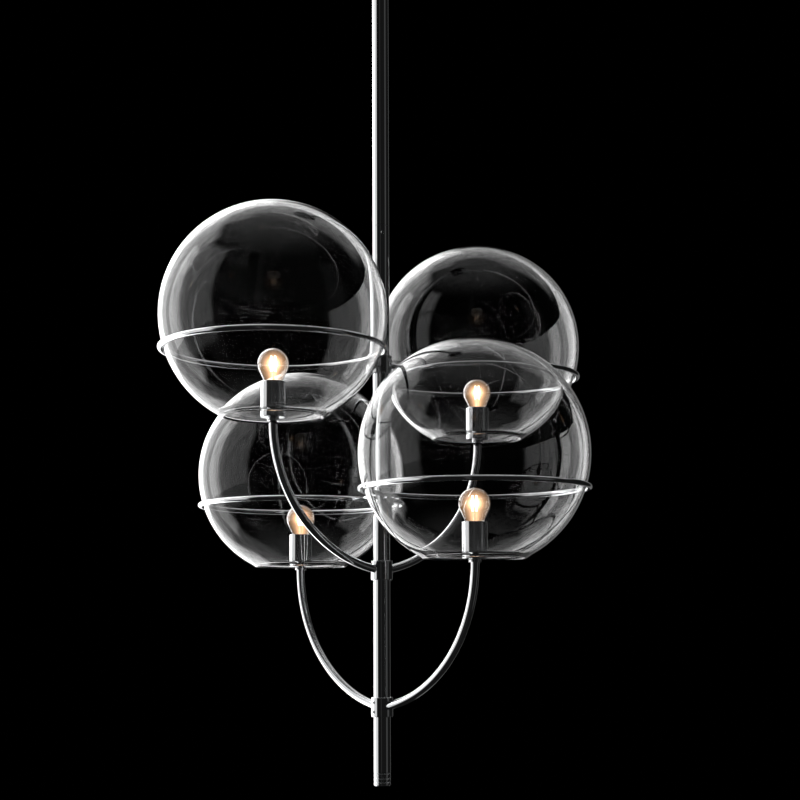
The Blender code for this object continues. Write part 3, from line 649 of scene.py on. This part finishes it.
def arc(centre, radius, first, last, steps):
    """Points of an arc in a profile, by angles in degrees from the outward side."""
    points = []
    for index in range(steps + 1):
        angle = math.radians(first + (last - first) * index / steps)
        points.append((centre[0] + radius * math.cos(angle), centre[1] + radius * math.sin(angle)))
    return points


# Globes, rings and arms


def globe_section(radius, angle):
    """Point of a globe's section at a polar angle."""
    return (radius * math.sin(angle), radius * math.cos(angle))


class PENDANT_OT_globes(bpy.types.Operator):
    """Blow the clear glass globes, each with a wall and a rolled lip round its mouth"""

    bl_idname = "pendant.globes"
    bl_label = "Glass Globes"

    def execute(self, context):
        sizes = context.scene.pendant_sizes
        rows = sizes.round_steps // 2
        inner = GLOBE_RADIUS - sizes.glass_wall
        centre_line = GLOBE_RADIUS - sizes.glass_wall / 2
        rim = math.pi - math.asin(sizes.mouth_radius / centre_line)
        outside = [globe_section(GLOBE_RADIUS, rim * index / rows) for index in range(rows)]
        inside = [globe_section(inner, rim * index / rows) for index in range(rows)]
        first = math.degrees(math.atan2(math.cos(rim), math.sin(rim)))
        lip = arc(globe_section(centre_line, rim), sizes.lip_radius, first, first - 180, 12)
        profile = outside + lip + inside[::-1]
        for name in GLOBES:
            node = f"glass_globe_{name}"
            matrix = Matrix.Translation(axis_of(name) + UP * (high_z(node) - GLOBE_RADIUS))
            globe = turned(f"blown_globe_{name}", profile, sizes.round_steps, matrix)
            finish_piece(globe, f"globe_{name}", node, "clear_glass")
        return {"FINISHED"}


class PENDANT_OT_rings(bpy.types.Operator):
    """Bend the rings that carry the globes, each with its stub to the tube"""

    bl_idname = "pendant.rings"
    bl_label = "Globe Rings"

    def execute(self, context):
        sizes = context.scene.pendant_sizes
        rod = arc((sizes.ring_radius, 0.0), sizes.rod_radius, 0, 360, ROD_SIDES)[:-1]
        stub_start = TUBE_RADIUS + STUB_CLEARANCE
        for name in GLOBES:
            node = f"globe_ring_{name}"
            body = f"{tier_of(name)}_tier"
            hub = UP * middle(node).z
            matrix = Matrix.Translation(axis_of(name) + hub)
            ring = turned(f"bent_ring_{name}", rod, sizes.round_steps, matrix, closed=True)
            finish_piece(ring, body, node, "chrome")
            length = axis_of(name).length - sizes.ring_radius - stub_start
            profile = [
                (0.0, 0.0),
                (sizes.stub_radius, 0.0),
                (sizes.stub_radius, length - STUB_TAPER),
                (sizes.rod_radius, length),
                (0.0, length),
            ]
            outward = outward_of(name)
            matrix = frame_matrix(hub + outward * stub_start, outward, UP)
            stub = turned(f"ring_stub_{name}", profile, SMALL_SIDES, matrix, rounding=(0.0006, 3))
            finish_piece(stub, body, node, "chrome")
        return {"FINISHED"}


def arm_line(name, sizes):
    """Centre line of an arm, from its collar up and out to the underside of its cup."""
    reach = axis_of(name).length
    outward = outward_of(name)
    collar_z = middle(f"{tier_of(name)}_arm_collar").z
    rise = low_z(f"arm_nut_{name}") - collar_z
    depth = rise * sizes.arm_sag
    start_cosine = math.sqrt(1 - 1 / sizes.arm_sag ** 2)
    half = reach / (1 - start_cosine)
    first = math.acos((TUBE_RADIUS + ARM_CLEARANCE - reach + half) / half)
    points = []
    for index in range(ARM_STEPS + 1):
        angle = first * (1 - index / ARM_STEPS)
        out = reach - half + half * math.cos(angle)
        height = collar_z + rise - depth * math.sin(angle)
        points.append(outward * out + UP * height)
    points.append(points[-1] + UP * (high_z(f"arm_{name}") - points[-1].z))
    return points


class PENDANT_OT_arms(bpy.types.Operator):
    """Bend the curved arms and turn the nuts that hold the cups on them"""

    bl_idname = "pendant.arms"
    bl_label = "Curved Arms"

    def execute(self, context):
        sizes = context.scene.pendant_sizes
        for name in GLOBES:
            body = f"{tier_of(name)}_tier"
            shape = bmesh.new()
            side = outward_of(name).cross(UP)
            sweep(shape, arm_line(name, sizes), sizes.arm_radius, ARM_SIDES, side)
            arm = new_object(shape, f"bent_arm_{name}")
            finish_piece(arm, body, f"arm_{name}", "chrome")
            self.make_nut(name, body, sizes)
        return {"FINISHED"}

    def make_nut(self, name, body, sizes):
        """Round nut with a grip groove, under a cup."""
        node = f"arm_nut_{name}"
        radius, low, high = span(node)
        bore = sizes.arm_radius + HOLE_FIT
        groove = (low + high) / 2
        profile = [
            (bore, high),
            (radius, high),
            (radius, groove + NUT_GROOVE_HALF),
            (radius - NUT_GROOVE_DEPTH, groove),
            (radius, groove - NUT_GROOVE_HALF),
            (radius, low),
            (bore, low),
        ]
        matrix = Matrix.Translation(axis_of(name))
        steps = sizes.small_steps
        rounding = (0.0005, 3)
        nut = turned(f"turned_nut_{name}", profile, steps, matrix, closed=True, rounding=rounding)
        finish_piece(nut, body, node, "chrome")


# Collars


def spoke(node):
    """Point of the tube's axis level with a solid, and the direction and distance to the solid."""
    centre = middle(node)
    hub = UP * centre.z
    return hub, (centre - hub).normalized(), (centre - hub).length


def make_set_screw(node, body):
    """Set screw with a hexagon socket, in the place of a packed one."""
    size = extent(node)
    radius = size.z / 2
    hub, outward, distance = spoke(node)
    length = (size.xy.length - radius * math.sqrt(2)) * 0.98
    length = max(length, SET_SCREW_LEAST)
    profile = [
        (0.0, -length / 2),
        (radius * 0.8, -length / 2),
        (radius, -length / 4),
        (radius, length / 2),
        (0.0, length / 2),
    ]
    matrix = frame_matrix(hub + outward * distance, outward, UP)
    screw = turned(f"socket_{node}", profile, SMALL_SIDES, matrix, rounding=(0.00015, 2))
    tip = hub + outward * (distance + length / 2)
    start = tip - outward * SOCKET_DEPTH
    socket = bar_cutter(radius * SOCKET_SHARE, start, tip + outward * 0.002, sides=6)
    cut(screw, [socket])
    finish_piece(screw, body, node, "set_screw")


def make_sleeve_collar(node, body, sizes, holes):
    """Collar round the tube with rounded edges and holes bored through its wall."""
    radius, low, high = span(node)
    bore = TUBE_RADIUS + BORE_FIT
    profile = [(bore, high), (radius, high), (radius, low), (bore, low)]
    steps = sizes.small_steps * 2
    collar = turned(f"turned_{node}", profile, steps, closed=True, rounding=(0.0011, 4))
    cut(collar, holes)
    finish_piece(collar, body, node, "chrome")


def wall_hole(radius, hub, outward):
    """Cutter through a collar's wall."""
    end = hub + outward * (COLLAR_RADIUS + CUTTER_REACH)
    return bar_cutter(radius, hub + outward * TUBE_RADIUS * 0.8, end)


def screw_hole(node):
    """Cutter for the hole round a set screw."""
    hub, outward, _ = spoke(node)
    return wall_hole(extent(node).z / 2 + SCREW_FIT, hub, outward)


class PENDANT_OT_collars(bpy.types.Operator):
    """Turn the collars of both tiers, bore them for their arms, and set their screws"""

    bl_idname = "pendant.collars"
    bl_label = "Tier Collars"

    def execute(self, context):
        sizes = context.scene.pendant_sizes
        for tier in TIERS:
            body = f"{tier}_tier"
            names = [name for name in GLOBES if tier_of(name) == tier]
            ring_collar = f"{tier}_ring_collar"
            arm_collar = f"{tier}_arm_collar"
            ring_screws = [f"{ring_collar}_screw_1"]
            arm_screws = [f"{arm_collar}_screw_1", f"{arm_collar}_screw_2"]
            holes = [screw_hole(screw) for screw in ring_screws]
            hub = UP * middle(ring_collar).z
            for name in names:
                holes.append(wall_hole(sizes.stub_radius + HOLE_FIT, hub, outward_of(name)))
            make_sleeve_collar(ring_collar, body, sizes, holes)
            holes = [screw_hole(screw) for screw in arm_screws]
            for name in names:
                line = arm_line(name, sizes)
                start = line[0] * 2 - line[3]
                holes.append(bar_cutter(sizes.arm_radius + HOLE_FIT, start, line[3]))
            make_sleeve_collar(arm_collar, body, sizes, holes)
            for screw in ring_screws + arm_screws:
                make_set_screw(screw, body)
        return {"FINISHED"}


# Tube


def hanger_holes(reach):
    """Cutters for the pin and for the cable, out to a distance from the tube's axis."""
    pin = middle("hanger_pin")
    sideways = Vector((0.0, reach, 0.0))
    cable = UP * (pin.z - CABLE_DROP)
    return [
        bar_cutter(PIN_HOLE, pin - sideways, pin + sideways),
        bar_cutter(CABLE_HOLE, cable, cable + Vector((reach, 0.0, 0.0))),
    ]


class PENDANT_OT_tube(bpy.types.Operator):
    """Draw the hanging tube, its joint screw and its grooved end piece"""

    bl_idname = "pendant.tube"
    bl_label = "Hanging Tube"

    def execute(self, context):
        sizes = context.scene.pendant_sizes
        steps = sizes.small_steps * 2
        bore = TUBE_RADIUS - TUBE_WALL
        for node in ("upper_stem_tube", "lower_stem_tube"):
            _, low, high = span(node)
            profile = [(TUBE_RADIUS, high), (TUBE_RADIUS, low), (bore, low), (bore, high)]
            tube = turned(f"drawn_{node}", profile, steps, closed=True, rounding=(0.0002, 2))
            cut(tube, self.holes(node))
            finish_piece(tube, "hanging_tube", node, "chrome")
        self.make_joint_screw()
        self.make_end_piece(steps)
        return {"FINISHED"}

    def holes(self, node):
        """Cutters for the holes in one tube."""
        past_wall = TUBE_RADIUS * 1.4
        if node == "upper_stem_tube":
            return hanger_holes(past_wall)
        cutters = []
        for tier in TIERS:
            centre = UP * middle(f"{tier}_arm_collar").z
            reach = outward_of(f"{tier}_front") * past_wall
            cutters.append(bar_cutter(ARM_WIRE_HOLE, centre - reach, centre + reach))
        hub, outward, _ = spoke("stem_joint_screw")
        start = hub + outward * TUBE_RADIUS * 0.5
        cutters.append(bar_cutter(JOINT_SCREW_HOLE, start, hub + outward * past_wall))
        return cutters

    def make_joint_screw(self):
        """Small domed screw with a cross recess on the front of the tube."""
        hub, outward, _ = spoke("stem_joint_screw")
        head = 0.0025
        top = 0.0010
        shank = 0.0015
        profile = [
            (0.0, top),
            (head * 0.55, 0.00092),
            (head * 0.85, 0.00065),
            (head, 0.00015),
            (head, 0.0),
            (shank, 0.0),
            (shank, -0.0030),
            (0.0, -0.0030),
        ]
        face = hub + outward * (TUBE_RADIUS + GAP)
        matrix = frame_matrix(face, outward, UP)
        screw = turned("domed_joint_screw", profile, SMALL_SIDES, matrix)
        cut(screw, [cross_cutter(face + outward * top, outward, 0.0014, 0.00045, 0.0007)])
        finish_piece(screw, "hanging_tube", "stem_joint_screw", "chrome")

    def make_end_piece(self, steps):
        """Solid end of the tube with two thin grooves and a bevelled foot."""
        _, low, high = span("stem_end_piece")
        seam = low_z("lower_stem_tube") - GAP
        radius = TUBE_RADIUS
        spigot = radius - 0.0019
        bevel = 0.0010
        foot = 0.0009
        profile = [
            (0.0, high),
            (spigot, high),
            (spigot, seam),
            (radius - bevel, seam),
            (radius, seam - bevel),
        ]
        for height in END_GROOVES:
            profile += [
                (radius, low + height + 0.0010),
                (radius - END_GROOVE_DEPTH, low + height + 0.0001),
                (radius - END_GROOVE_DEPTH, low + height - 0.0001),
                (radius, low + height - 0.0010),
            ]
        profile += [(radius, low + foot), (radius - foot, low), (0.0, low)]
        piece = turned("grooved_tube_end", profile, steps)
        finish_piece(piece, "hanging_tube", "stem_end_piece", "satin_chrome")


# Cups and bulbs


class PENDANT_OT_cups(bpy.types.Operator):
    """Spin the lampholder cups and turn the holders that stand in them"""

    bl_idname = "pendant.cups"
    bl_label = "Lampholder Cups"

    def execute(self, context):
        sizes = context.scene.pendant_sizes
        for name in GLOBES:
            body = f"{tier_of(name)}_tier"
            self.make_cup(name, body, sizes)
            self.make_holder(name, body, sizes)
        return {"FINISHED"}

    def make_cup(self, name, body, sizes):
        """Thin cup with a rounded foot and a rolled top edge."""
        node = f"lamp_cup_{name}"
        radius, low, high = span(node)
        wall = 0.001
        bore = sizes.arm_radius + GAP
        foot = 0.0014
        base = 0.002
        profile = [
            (radius - wall / 2, high),
            (radius, high - wall / 2),
            *arc((radius - foot, low + foot), foot, 0, -90, 6),
            (bore, low),
            (bore, low + base),
            (radius - wall, low + base),
            (radius - wall, high - wall / 2),
        ]
        matrix = Matrix.Translation(axis_of(name))
        cup = turned(f"spun_cup_{name}", profile, sizes.small_steps * 2, matrix, closed=True)
        finish_piece(cup, body, node, "chrome")

    def make_holder(self, name, body, sizes):
        """Moulded holder with a bevelled rim, a well for the cap and one for the arm."""
        node = f"lampholder_{name}"
        outer, low, high = span(node)
        well = 0.0074
        wire_hole = 0.002
        floor = low_z(f"bulb_cap_{name}") - GAP
        arm_well = sizes.arm_radius + WELL_FIT
        roof = high_z(f"arm_{name}") + WELL_FIT
        profile = [
            (outer, high - 0.0010),
            (outer, low),
            (arm_well, low),
            (arm_well, roof),
            (wire_hole, roof),
            (wire_hole, floor),
            (well, floor),
            (well, high - 0.0004),
            (well + 0.0004, high),
            (outer - 0.0010, high),
        ]
        matrix = Matrix.Translation(axis_of(name))
        holder = turned(f"moulded_holder_{name}", profile, sizes.small_steps, matrix, closed=True)
        finish_piece(holder, body, node, "holder_plastic")


def bulb_section(radius, neck_radius):
    """Section of a bulb from its top, round the ball and down a short cone to the neck."""
    distance = math.hypot(neck_radius, BULB_NECK_DROP)
    to_centre = math.atan2(BULB_NECK_DROP, -neck_radius)
    slope = to_centre - math.asin(radius / distance)
    last = math.pi - slope
    points = [globe_section(radius, last * index / BULB_ROWS) for index in range(BULB_ROWS + 1)]
    return points + [(neck_radius, -BULB_NECK_DROP)]


class PENDANT_OT_bulbs(bpy.types.Operator):
    """Blow the golf-ball bulbs, and make their screw caps, stems and glowing filaments"""

    bl_idname = "pendant.bulbs"
    bl_label = "Bulbs"

    def execute(self, context):
        sizes = context.scene.pendant_sizes
        wall = 0.0008
        profile = bulb_section(sizes.bulb_radius, BULB_NECK_RADIUS)
        profile += bulb_section(sizes.bulb_radius - wall, BULB_NECK_RADIUS - wall)[::-1]
        for name in GLOBES:
            node = f"bulb_glass_{name}"
            body = f"bulb_{name}"
            place = axis_of(name) + UP * (high_z(node) - sizes.bulb_radius)
            matrix = Matrix.Translation(place)
            glass = turned(f"blown_bulb_{name}", profile, sizes.small_steps, matrix)
            finish_piece(glass, body, node, "bulb_glass")
            self.make_cap(name, place, body, sizes)
            self.make_filament(name, place, body)
        return {"FINISHED"}

    def make_cap(self, name, place, body, sizes):
        """Screw cap with a skirt, a rolled thread and a contact."""
        node = f"bulb_cap_{name}"
        top = high_z(node) - place.z
        bottom = low_z(node) - place.z
        skirt = extent(node).x / 2
        collar = skirt - 0.0006
        thread = 0.0068
        core = 0.0055
        plug = -0.0343
        skirt_foot = top - 0.005
        thread_foot = bottom + 0.0025
        profile = [
            (0.0, -0.042),
            (core, -0.042),
            (core, plug),
            (collar, plug),
            (collar, top),
            (skirt, top),
            (skirt, skirt_foot + 0.001),
            (thread, skirt_foot),
        ]
        pitch = (skirt_foot - thread_foot) / THREAD_TURNS
        for index in range(THREAD_TURNS):
            crest = skirt_foot - pitch * (index + 0.25)
            root = skirt_foot - pitch * (index + 0.75)
            profile += [(thread, crest), (thread - THREAD_DEPTH, root)]
        profile += [(core, thread_foot), (0.003, thread_foot), (0.0026, bottom), (0.0, bottom)]
        matrix = Matrix.Translation(place)
        cap = turned(f"screw_cap_{name}", profile, sizes.small_steps, matrix)
        finish_piece(cap, body, node, "brass")

    def make_filament(self, name, place, body):
        """Glass stem with two small plates, and the glowing sticks between them."""
        node = f"filament_mount_{name}"
        top = high_z(node) - place.z
        foot = low_z(node) - place.z
        low = -0.012
        plate = 0.0008
        core = 0.0009
        profile = [
            (0.0, top),
            (0.0035, top),
            (0.0045, top - plate / 2),
            (0.0035, top - plate),
            (core, top - plate),
            (core, low + plate),
            (0.0035, low + plate),
            (0.0045, low + plate / 2),
            (0.0035, low),
            (0.0016, low - 0.001),
            (0.0018, foot + 0.008),
            (0.0040, foot + 0.002),
            (0.0045, foot),
            (0.0, foot),
        ]
        matrix = Matrix.Translation(place)
        stem = turned(f"glass_stem_{name}", profile, SMALL_SIDES, matrix)
        finish_piece(stem, body, node, "steel")
        sticks = bmesh.new()
        for index in range(4):
            angle = math.tau * index / 4 + math.pi / 4
            outward = Vector((math.cos(angle), math.sin(angle), 0.0))
            points = []
            for step in range(STICK_STEPS + 1):
                share = step / STICK_STEPS
                bow = 0.0036 + 0.0008 * math.sin(math.pi * share)
                height = low + plate + (top - low - 2 * plate) * share
                points.append(outward * bow + UP * height)
            sweep(sticks, points, STICK_RADIUS, 12, outward.cross(UP))
        glow = new_object(sticks, f"filament_wires_{name}", matrix)
        finish_piece(glow, body, node, "filament")


# Ceiling fitting


class PENDANT_OT_ceiling_parts(bpy.types.Operator):
    """Make the bracket, hanger, terminal block, canopy and the canopy's collar"""

    bl_idname = "pendant.ceiling_parts"
    bl_label = "Ceiling Parts"

    def execute(self, context):
        sizes = context.scene.pendant_sizes
        self.make_bracket(sizes)
        self.make_hanger(sizes)
        self.make_terminal_block()
        self.make_canopy(sizes)
        screw = "canopy_collar_screw_1"
        make_sleeve_collar("canopy_collar", "canopy", sizes, [screw_hole(screw)])
        make_set_screw(screw, "canopy")
        return {"FINISHED"}

    def make_bracket(self, sizes):
        """Stamped round bracket with its holes, and the screws through it."""
        node = "ceiling_bracket"
        radius, low, high = span(node)
        profile = [(0.0, high), (radius, high), (radius, low), (0.0, low)]
        steps = sizes.small_steps * 2
        bracket = turned("stamped_bracket", profile, steps, rounding=(0.0006, 2))
        up = UP * 0.01
        holes = [bar_cutter(SUPPLY_HOLE, SUPPLY_PLACE - up, SUPPLY_PLACE + up)]
        screws = ("bracket_screw_1", "bracket_screw_2")
        for screw in screws:
            holes.append(bar_cutter(BRACKET_HOLE, middle(screw) - up, middle(screw) + up))
        cut(bracket, holes)
        finish_piece(bracket, "hanging_tube", node, "steel")
        for screw in screws:
            self.make_bracket_screw(screw, low - GAP)

    def make_bracket_screw(self, node, seat):
        """Pan-head screw with a cross recess, head down."""
        _, low, high = span(node)
        centre = middle(node)
        head = extent(node).y / 2
        shank = 0.0025
        profile = [
            (0.0, low),
            (head * 0.6, low + 0.0002),
            (head * 0.92, low + 0.0010),
            (head, low + 0.0019),
            (head, seat),
            (shank, seat),
            (shank, high),
            (0.0, high),
        ]
        matrix = Matrix.Translation((centre.x, centre.y, 0.0))
        screw = turned(f"pan_head_{node}", profile, 40, matrix)
        face = Vector((centre.x, centre.y, low))
        cut(screw, [cross_cutter(face, -UP, 0.0022, 0.0008, 0.0012)])
        finish_piece(screw, "hanging_tube", node, "steel")

    def make_hanger(self, sizes):
        """Turned socket under the bracket, and the pin through it."""
        radius, low, high = span("stem_hanger")
        roof = high_z("upper_stem_tube") + GAP
        bore = TUBE_RADIUS + GAP
        profile = [(0.0, high), (radius, high), (radius, low)]
        profile += [(bore, low), (bore, roof), (0.0, roof)]
        hanger = turned("turned_hanger", profile, sizes.small_steps * 2, rounding=(0.0006, 3))
        cut(hanger, hanger_holes(radius + CUTTER_REACH))
        finish_piece(hanger, "hanging_tube", "stem_hanger", "steel")
        half = extent("hanger_pin").y / 2
        profile = [(0.0, -half), (PIN_RADIUS, -half), (PIN_RADIUS, half), (0.0, half)]
        matrix = frame_matrix(middle("hanger_pin"), Vector((0.0, 1.0, 0.0)), UP)
        pin = turned("round_hanger_pin", profile, SMALL_SIDES, matrix, rounding=(0.0003, 2))
        finish_piece(pin, "hanging_tube", "hanger_pin", "steel")

    def make_terminal_block(self):
        """Moulded three-pole block with wire entries, screw wells and notches between the poles."""
        node = "terminal_block"
        size = extent(node)
        centre = middle(node)
        pole = size.y / 3
        shape = box_shape(centre, size)
        soften(shape, 0.0008, 3)
        block = new_object(shape, "moulded_terminal_block")
        along = Vector((size.x, 0.0, 0.0))
        reach = UP * CUTTER_REACH
        cutters = []
        for index in (-1, 0, 1):
            place = centre + Vector((0.0, index * pole, 0.0))
            cutters.append(bar_cutter(WIRE_ENTRY, place - along, place + along))
            for side in (-1, 1):
                well = place + Vector((side * size.x * 0.22, 0.0, -size.z / 2))
                cutters.append(bar_cutter(SCREW_WELL, well - reach, well + reach))
        for index in (-0.5, 0.5):
            place = centre + Vector((0.0, index * pole, -size.z / 2))
            cutters.append(new_object(box_shape(place, (size.x * 1.2, 0.0012, 0.006)), "cutter"))
        cut(block, cutters)
        finish_piece(block, "hanging_tube", node, "nylon")

    def make_canopy(self, sizes):
        """Spun canopy with a rounded lower edge."""
        radius, low, high = span("ceiling_canopy")
        wall = 0.0015
        edge = 0.005
        bore = TUBE_RADIUS + GAP
        corner = (radius - edge, low + edge)
        profile = [
            (radius, high),
            *arc(corner, edge, 0, -90, 10),
            (bore, low),
            (bore, low + wall),
            *arc(corner, edge - wall, -90, 0, 10),
            (radius - wall, high),
        ]
        canopy = turned("spun_canopy", profile, sizes.round_steps, closed=True)
        finish_piece(canopy, "canopy", "ceiling_canopy", "chrome")


class PENDANT_OT_inner_parts(bpy.types.Operator):
    """Give the plain solids that stay their procedural finishes"""

    bl_idname = "pendant.inner_parts"
    bl_label = "Inner Parts"

    def execute(self, context):
        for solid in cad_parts.values():
            if not solid.hide_render:
                for slot in solid.material_slots:
                    slot.material = material_for("steel")
        return {"FINISHED"}


# Stage

FLOOR_Z = -2.6
FLOOR_HALF = 9.6
FLOOR_FADE = (5.0, 9.4)
LAMP_TARGET = Vector((0.0, 0.0, -0.8))
# Each lamp: name, place, side and power
LAMPS = (
    ("left_softbox", (-2.6, -0.9, -0.3), 2.4, 62.0),
    ("right_softbox", (2.4, 1.4, -0.3), 1.6, 26.0),
    ("top_softbox", (0.4, -0.6, 1.6), 2.0, 34.0),
)
# Each box of light that only reflections show: first and last azimuth, lowest and highest
# elevation, softness of its edges, all in degrees, and its strength at both azimuths
SOFTBOXES = (
    ((-95.0, -54.0), (-26.0, 50.0), 4.0, (1.0, 0.80)),
    ((-172.0, -92.0), (-30.0, 56.0), 5.0, (2.0, 1.4)),
    ((-117.0, -97.0), (-36.0, 42.0), 4.0, (3.6, 3.2)),
    ((-164.0, -134.0), (-44.0, 48.0), 4.0, (4.2, 3.0)),
    ((158.0, 174.0), (-50.0, 40.0), 1.5, (0.12, 0.20)),
    ((-190.0, -120.0), (36.0, 70.0), 6.0, (0.85, 0.75)),
    ((120.0, 190.0), (36.0, 70.0), 6.0, (0.45, 0.85)),
    ((62.0, 84.0), (-30.0, 40.0), 4.0, (0.05, 0.06)),
    ((-8.0, -2.0), (-60.0, 60.0), 2.0, (0.03, 0.03)),
    ((-190.0, 190.0), (62.0, 110.0), 18.0, (0.25, 0.25)),
)
ROOM_LIGHT = 0.008
SENSOR_WIDTH = 36.0
CAMERA_LENS = 65.44
CAMERA_SHIFT = 0.1
CAMERA_PLACE = (0.1853, -2.1970, -1.0365)
# Turns about the camera's Z, X and then Z axis, in degrees
CAMERA_TURNS = ((4.0909, "Z"), (95.383, "X"), (-0.2252, "Z"))


def softbox(tree, azimuth, elevation, sides, heights, soft, strengths):
    """Rectangle of light in the studio round the object, by azimuths and elevations in degrees."""
    level = remap(tree, azimuth, *sides, *strengths)
    for direction, (low, high) in ((azimuth, sides), (elevation, heights)):
        for edge, before, after in ((low, 0.0, 1.0), (high, 1.0, 0.0)):
            step = remap(tree, direction, edge - soft, edge + soft, before, after, smooth=True)
            level = combine(tree, "MULTIPLY", level, step)
    return level


class PENDANT_OT_stage(bpy.types.Operator):
    """Set the pale floor, the plain backdrop, the soft studio lights and the camera"""

    bl_idname = "pendant.stage"
    bl_label = "Stage"

    def execute(self, context):
        self.make_floor()
        self.make_world(context)
        for lamp in LAMPS:
            self.make_lamp(context, *lamp)
        self.make_camera(context)
        context.scene.view_settings.view_transform = "Standard"
        return {"FINISHED"}

    def make_floor(self):
        """Pale floor of the room, well below the light."""
        shape = bmesh.new()
        matrix = Matrix.Translation((0.0, 0.0, FLOOR_Z))
        bmesh.ops.create_grid(shape, x_segments=2, y_segments=2, size=FLOOR_HALF, matrix=matrix)
        floor = new_object(shape, "floor")
        floor.data.materials.append(material_for("floor"))
        floor.visible_glossy = False

    def make_world(self, context):
        """Dark studio with softboxes that the chrome and the glass reflect."""
        world = bpy.data.worlds.new("studio")
        world.use_nodes = True
        context.scene.world = world
        tree = world.node_tree
        direction = add_node(tree, "TexCoord", {}).outputs["Generated"]
        parts = add_node(tree, "SeparateXYZ", {"Vector": direction}).outputs
        toward = combine(tree, "MULTIPLY", parts["Y"], -1.0)
        azimuth = combine(tree, "DEGREES", combine(tree, "ARCTAN2", parts["X"], toward))
        elevation = combine(tree, "DEGREES", combine(tree, "ARCSINE", parts["Z"]))
        level = 0.0
        for box in SOFTBOXES:
            level = combine(tree, "MAXIMUM", softbox(tree, azimuth, elevation, *box), level)
        folds = noise(tree, 5.0, 2.0, (3.0, 3.0, 0.5), "Generated")
        level = combine(tree, "MULTIPLY", level, remap(tree, folds, 0.35, 0.6, 0.65, 1.0))
        level = combine(tree, "ADD", level, ROOM_LIGHT)
        path = add_node(tree, "LightPath", {}).outputs
        straight = combine(tree, "LESS_THAN", path["Glossy Depth"], 0.5)
        through = combine(tree, "MULTIPLY", path["Is Transmission Ray"], straight)
        seen = combine(tree, "MAXIMUM", path["Is Camera Ray"], through)
        backdrop = (*context.scene.pendant_colours.backdrop, 1.0)
        feed(tree, tree.nodes["Background"], {
            "Color": blend(tree, seen, level, backdrop),
            "Strength": 1.0,
        })

    def make_lamp(self, context, name, place, size, power):
        """Large square area lamp that lights matt surfaces."""
        light = bpy.data.lights.new(name, "AREA")
        light.shape = "SQUARE"
        light.size = size
        light.energy = power
        lamp = bpy.data.objects.new(name, light)
        lamp.matrix_world = frame_matrix(Vector(place), Vector(place) - LAMP_TARGET, UP)
        lamp.visible_camera = False
        lamp.visible_glossy = False
        lamp.visible_transmission = False
        context.scene.collection.objects.link(lamp)

    def make_camera(self, context):
        """Camera at the photograph's angle, looking slightly up, its lens shifted up a little."""
        data = bpy.data.cameras.new("camera")
        data.sensor_width = SENSOR_WIDTH
        data.lens = CAMERA_LENS
        data.shift_y = CAMERA_SHIFT
        camera = bpy.data.objects.new("camera", data)
        matrix = Matrix.Translation(CAMERA_PLACE)
        for degrees, axis in CAMERA_TURNS:
            matrix = matrix @ Matrix.Rotation(math.radians(degrees), 4, axis)
        camera.matrix_world = matrix
        context.scene.collection.objects.link(camera)
        context.scene.camera = camera


# Panel and classes

STEPS = (
    PENDANT_OT_stage,
    PENDANT_OT_tube,
    PENDANT_OT_collars,
    PENDANT_OT_rings,
    PENDANT_OT_arms,
    PENDANT_OT_cups,
    PENDANT_OT_bulbs,
    PENDANT_OT_globes,
    PENDANT_OT_ceiling_parts,
    PENDANT_OT_inner_parts,
)


class PENDANT_PT_panel(bpy.types.Panel):
    """Sizes, colours and steps of the pendant light"""

    bl_idname = "PENDANT_PT_panel"
    bl_label = "Globe Pendant Light"
    bl_space_type = "VIEW_3D"
    bl_region_type = "UI"
    bl_category = "Pendant"

    def draw(self, context):
        for group in (context.scene.pendant_sizes, context.scene.pendant_colours):
            box = self.layout.box()
            for name in group.bl_rna.properties.keys():
                if name not in ("name", "rna_type"):
                    box.prop(group, name)
        for step in STEPS:
            self.layout.operator(step.bl_idname)


CLASSES = (PendantSizes, PendantColours, *STEPS, PENDANT_PT_panel)


def register():
    """Add the classes and their settings."""
    for item in CLASSES:
        bpy.utils.register_class(item)
    bpy.types.Scene.pendant_sizes = PointerProperty(type=PendantSizes)
    bpy.types.Scene.pendant_colours = PointerProperty(type=PendantColours)


def unregister():
    """Remove the classes and their settings."""
    del bpy.types.Scene.pendant_colours
    del bpy.types.Scene.pendant_sizes
    for item in reversed(CLASSES):
        bpy.utils.unregister_class(item)


def main():
    register()
    bpy.ops.pendant.stage()
    bpy.ops.pendant.tube()
    bpy.ops.pendant.collars()
    bpy.ops.pendant.rings()
    bpy.ops.pendant.arms()
    bpy.ops.pendant.cups()
    bpy.ops.pendant.bulbs()
    bpy.ops.pendant.globes()
    bpy.ops.pendant.ceiling_parts()
    bpy.ops.pendant.inner_parts()
    bpy.context.view_layer.update()


if __name__ == "__main__":
    main()
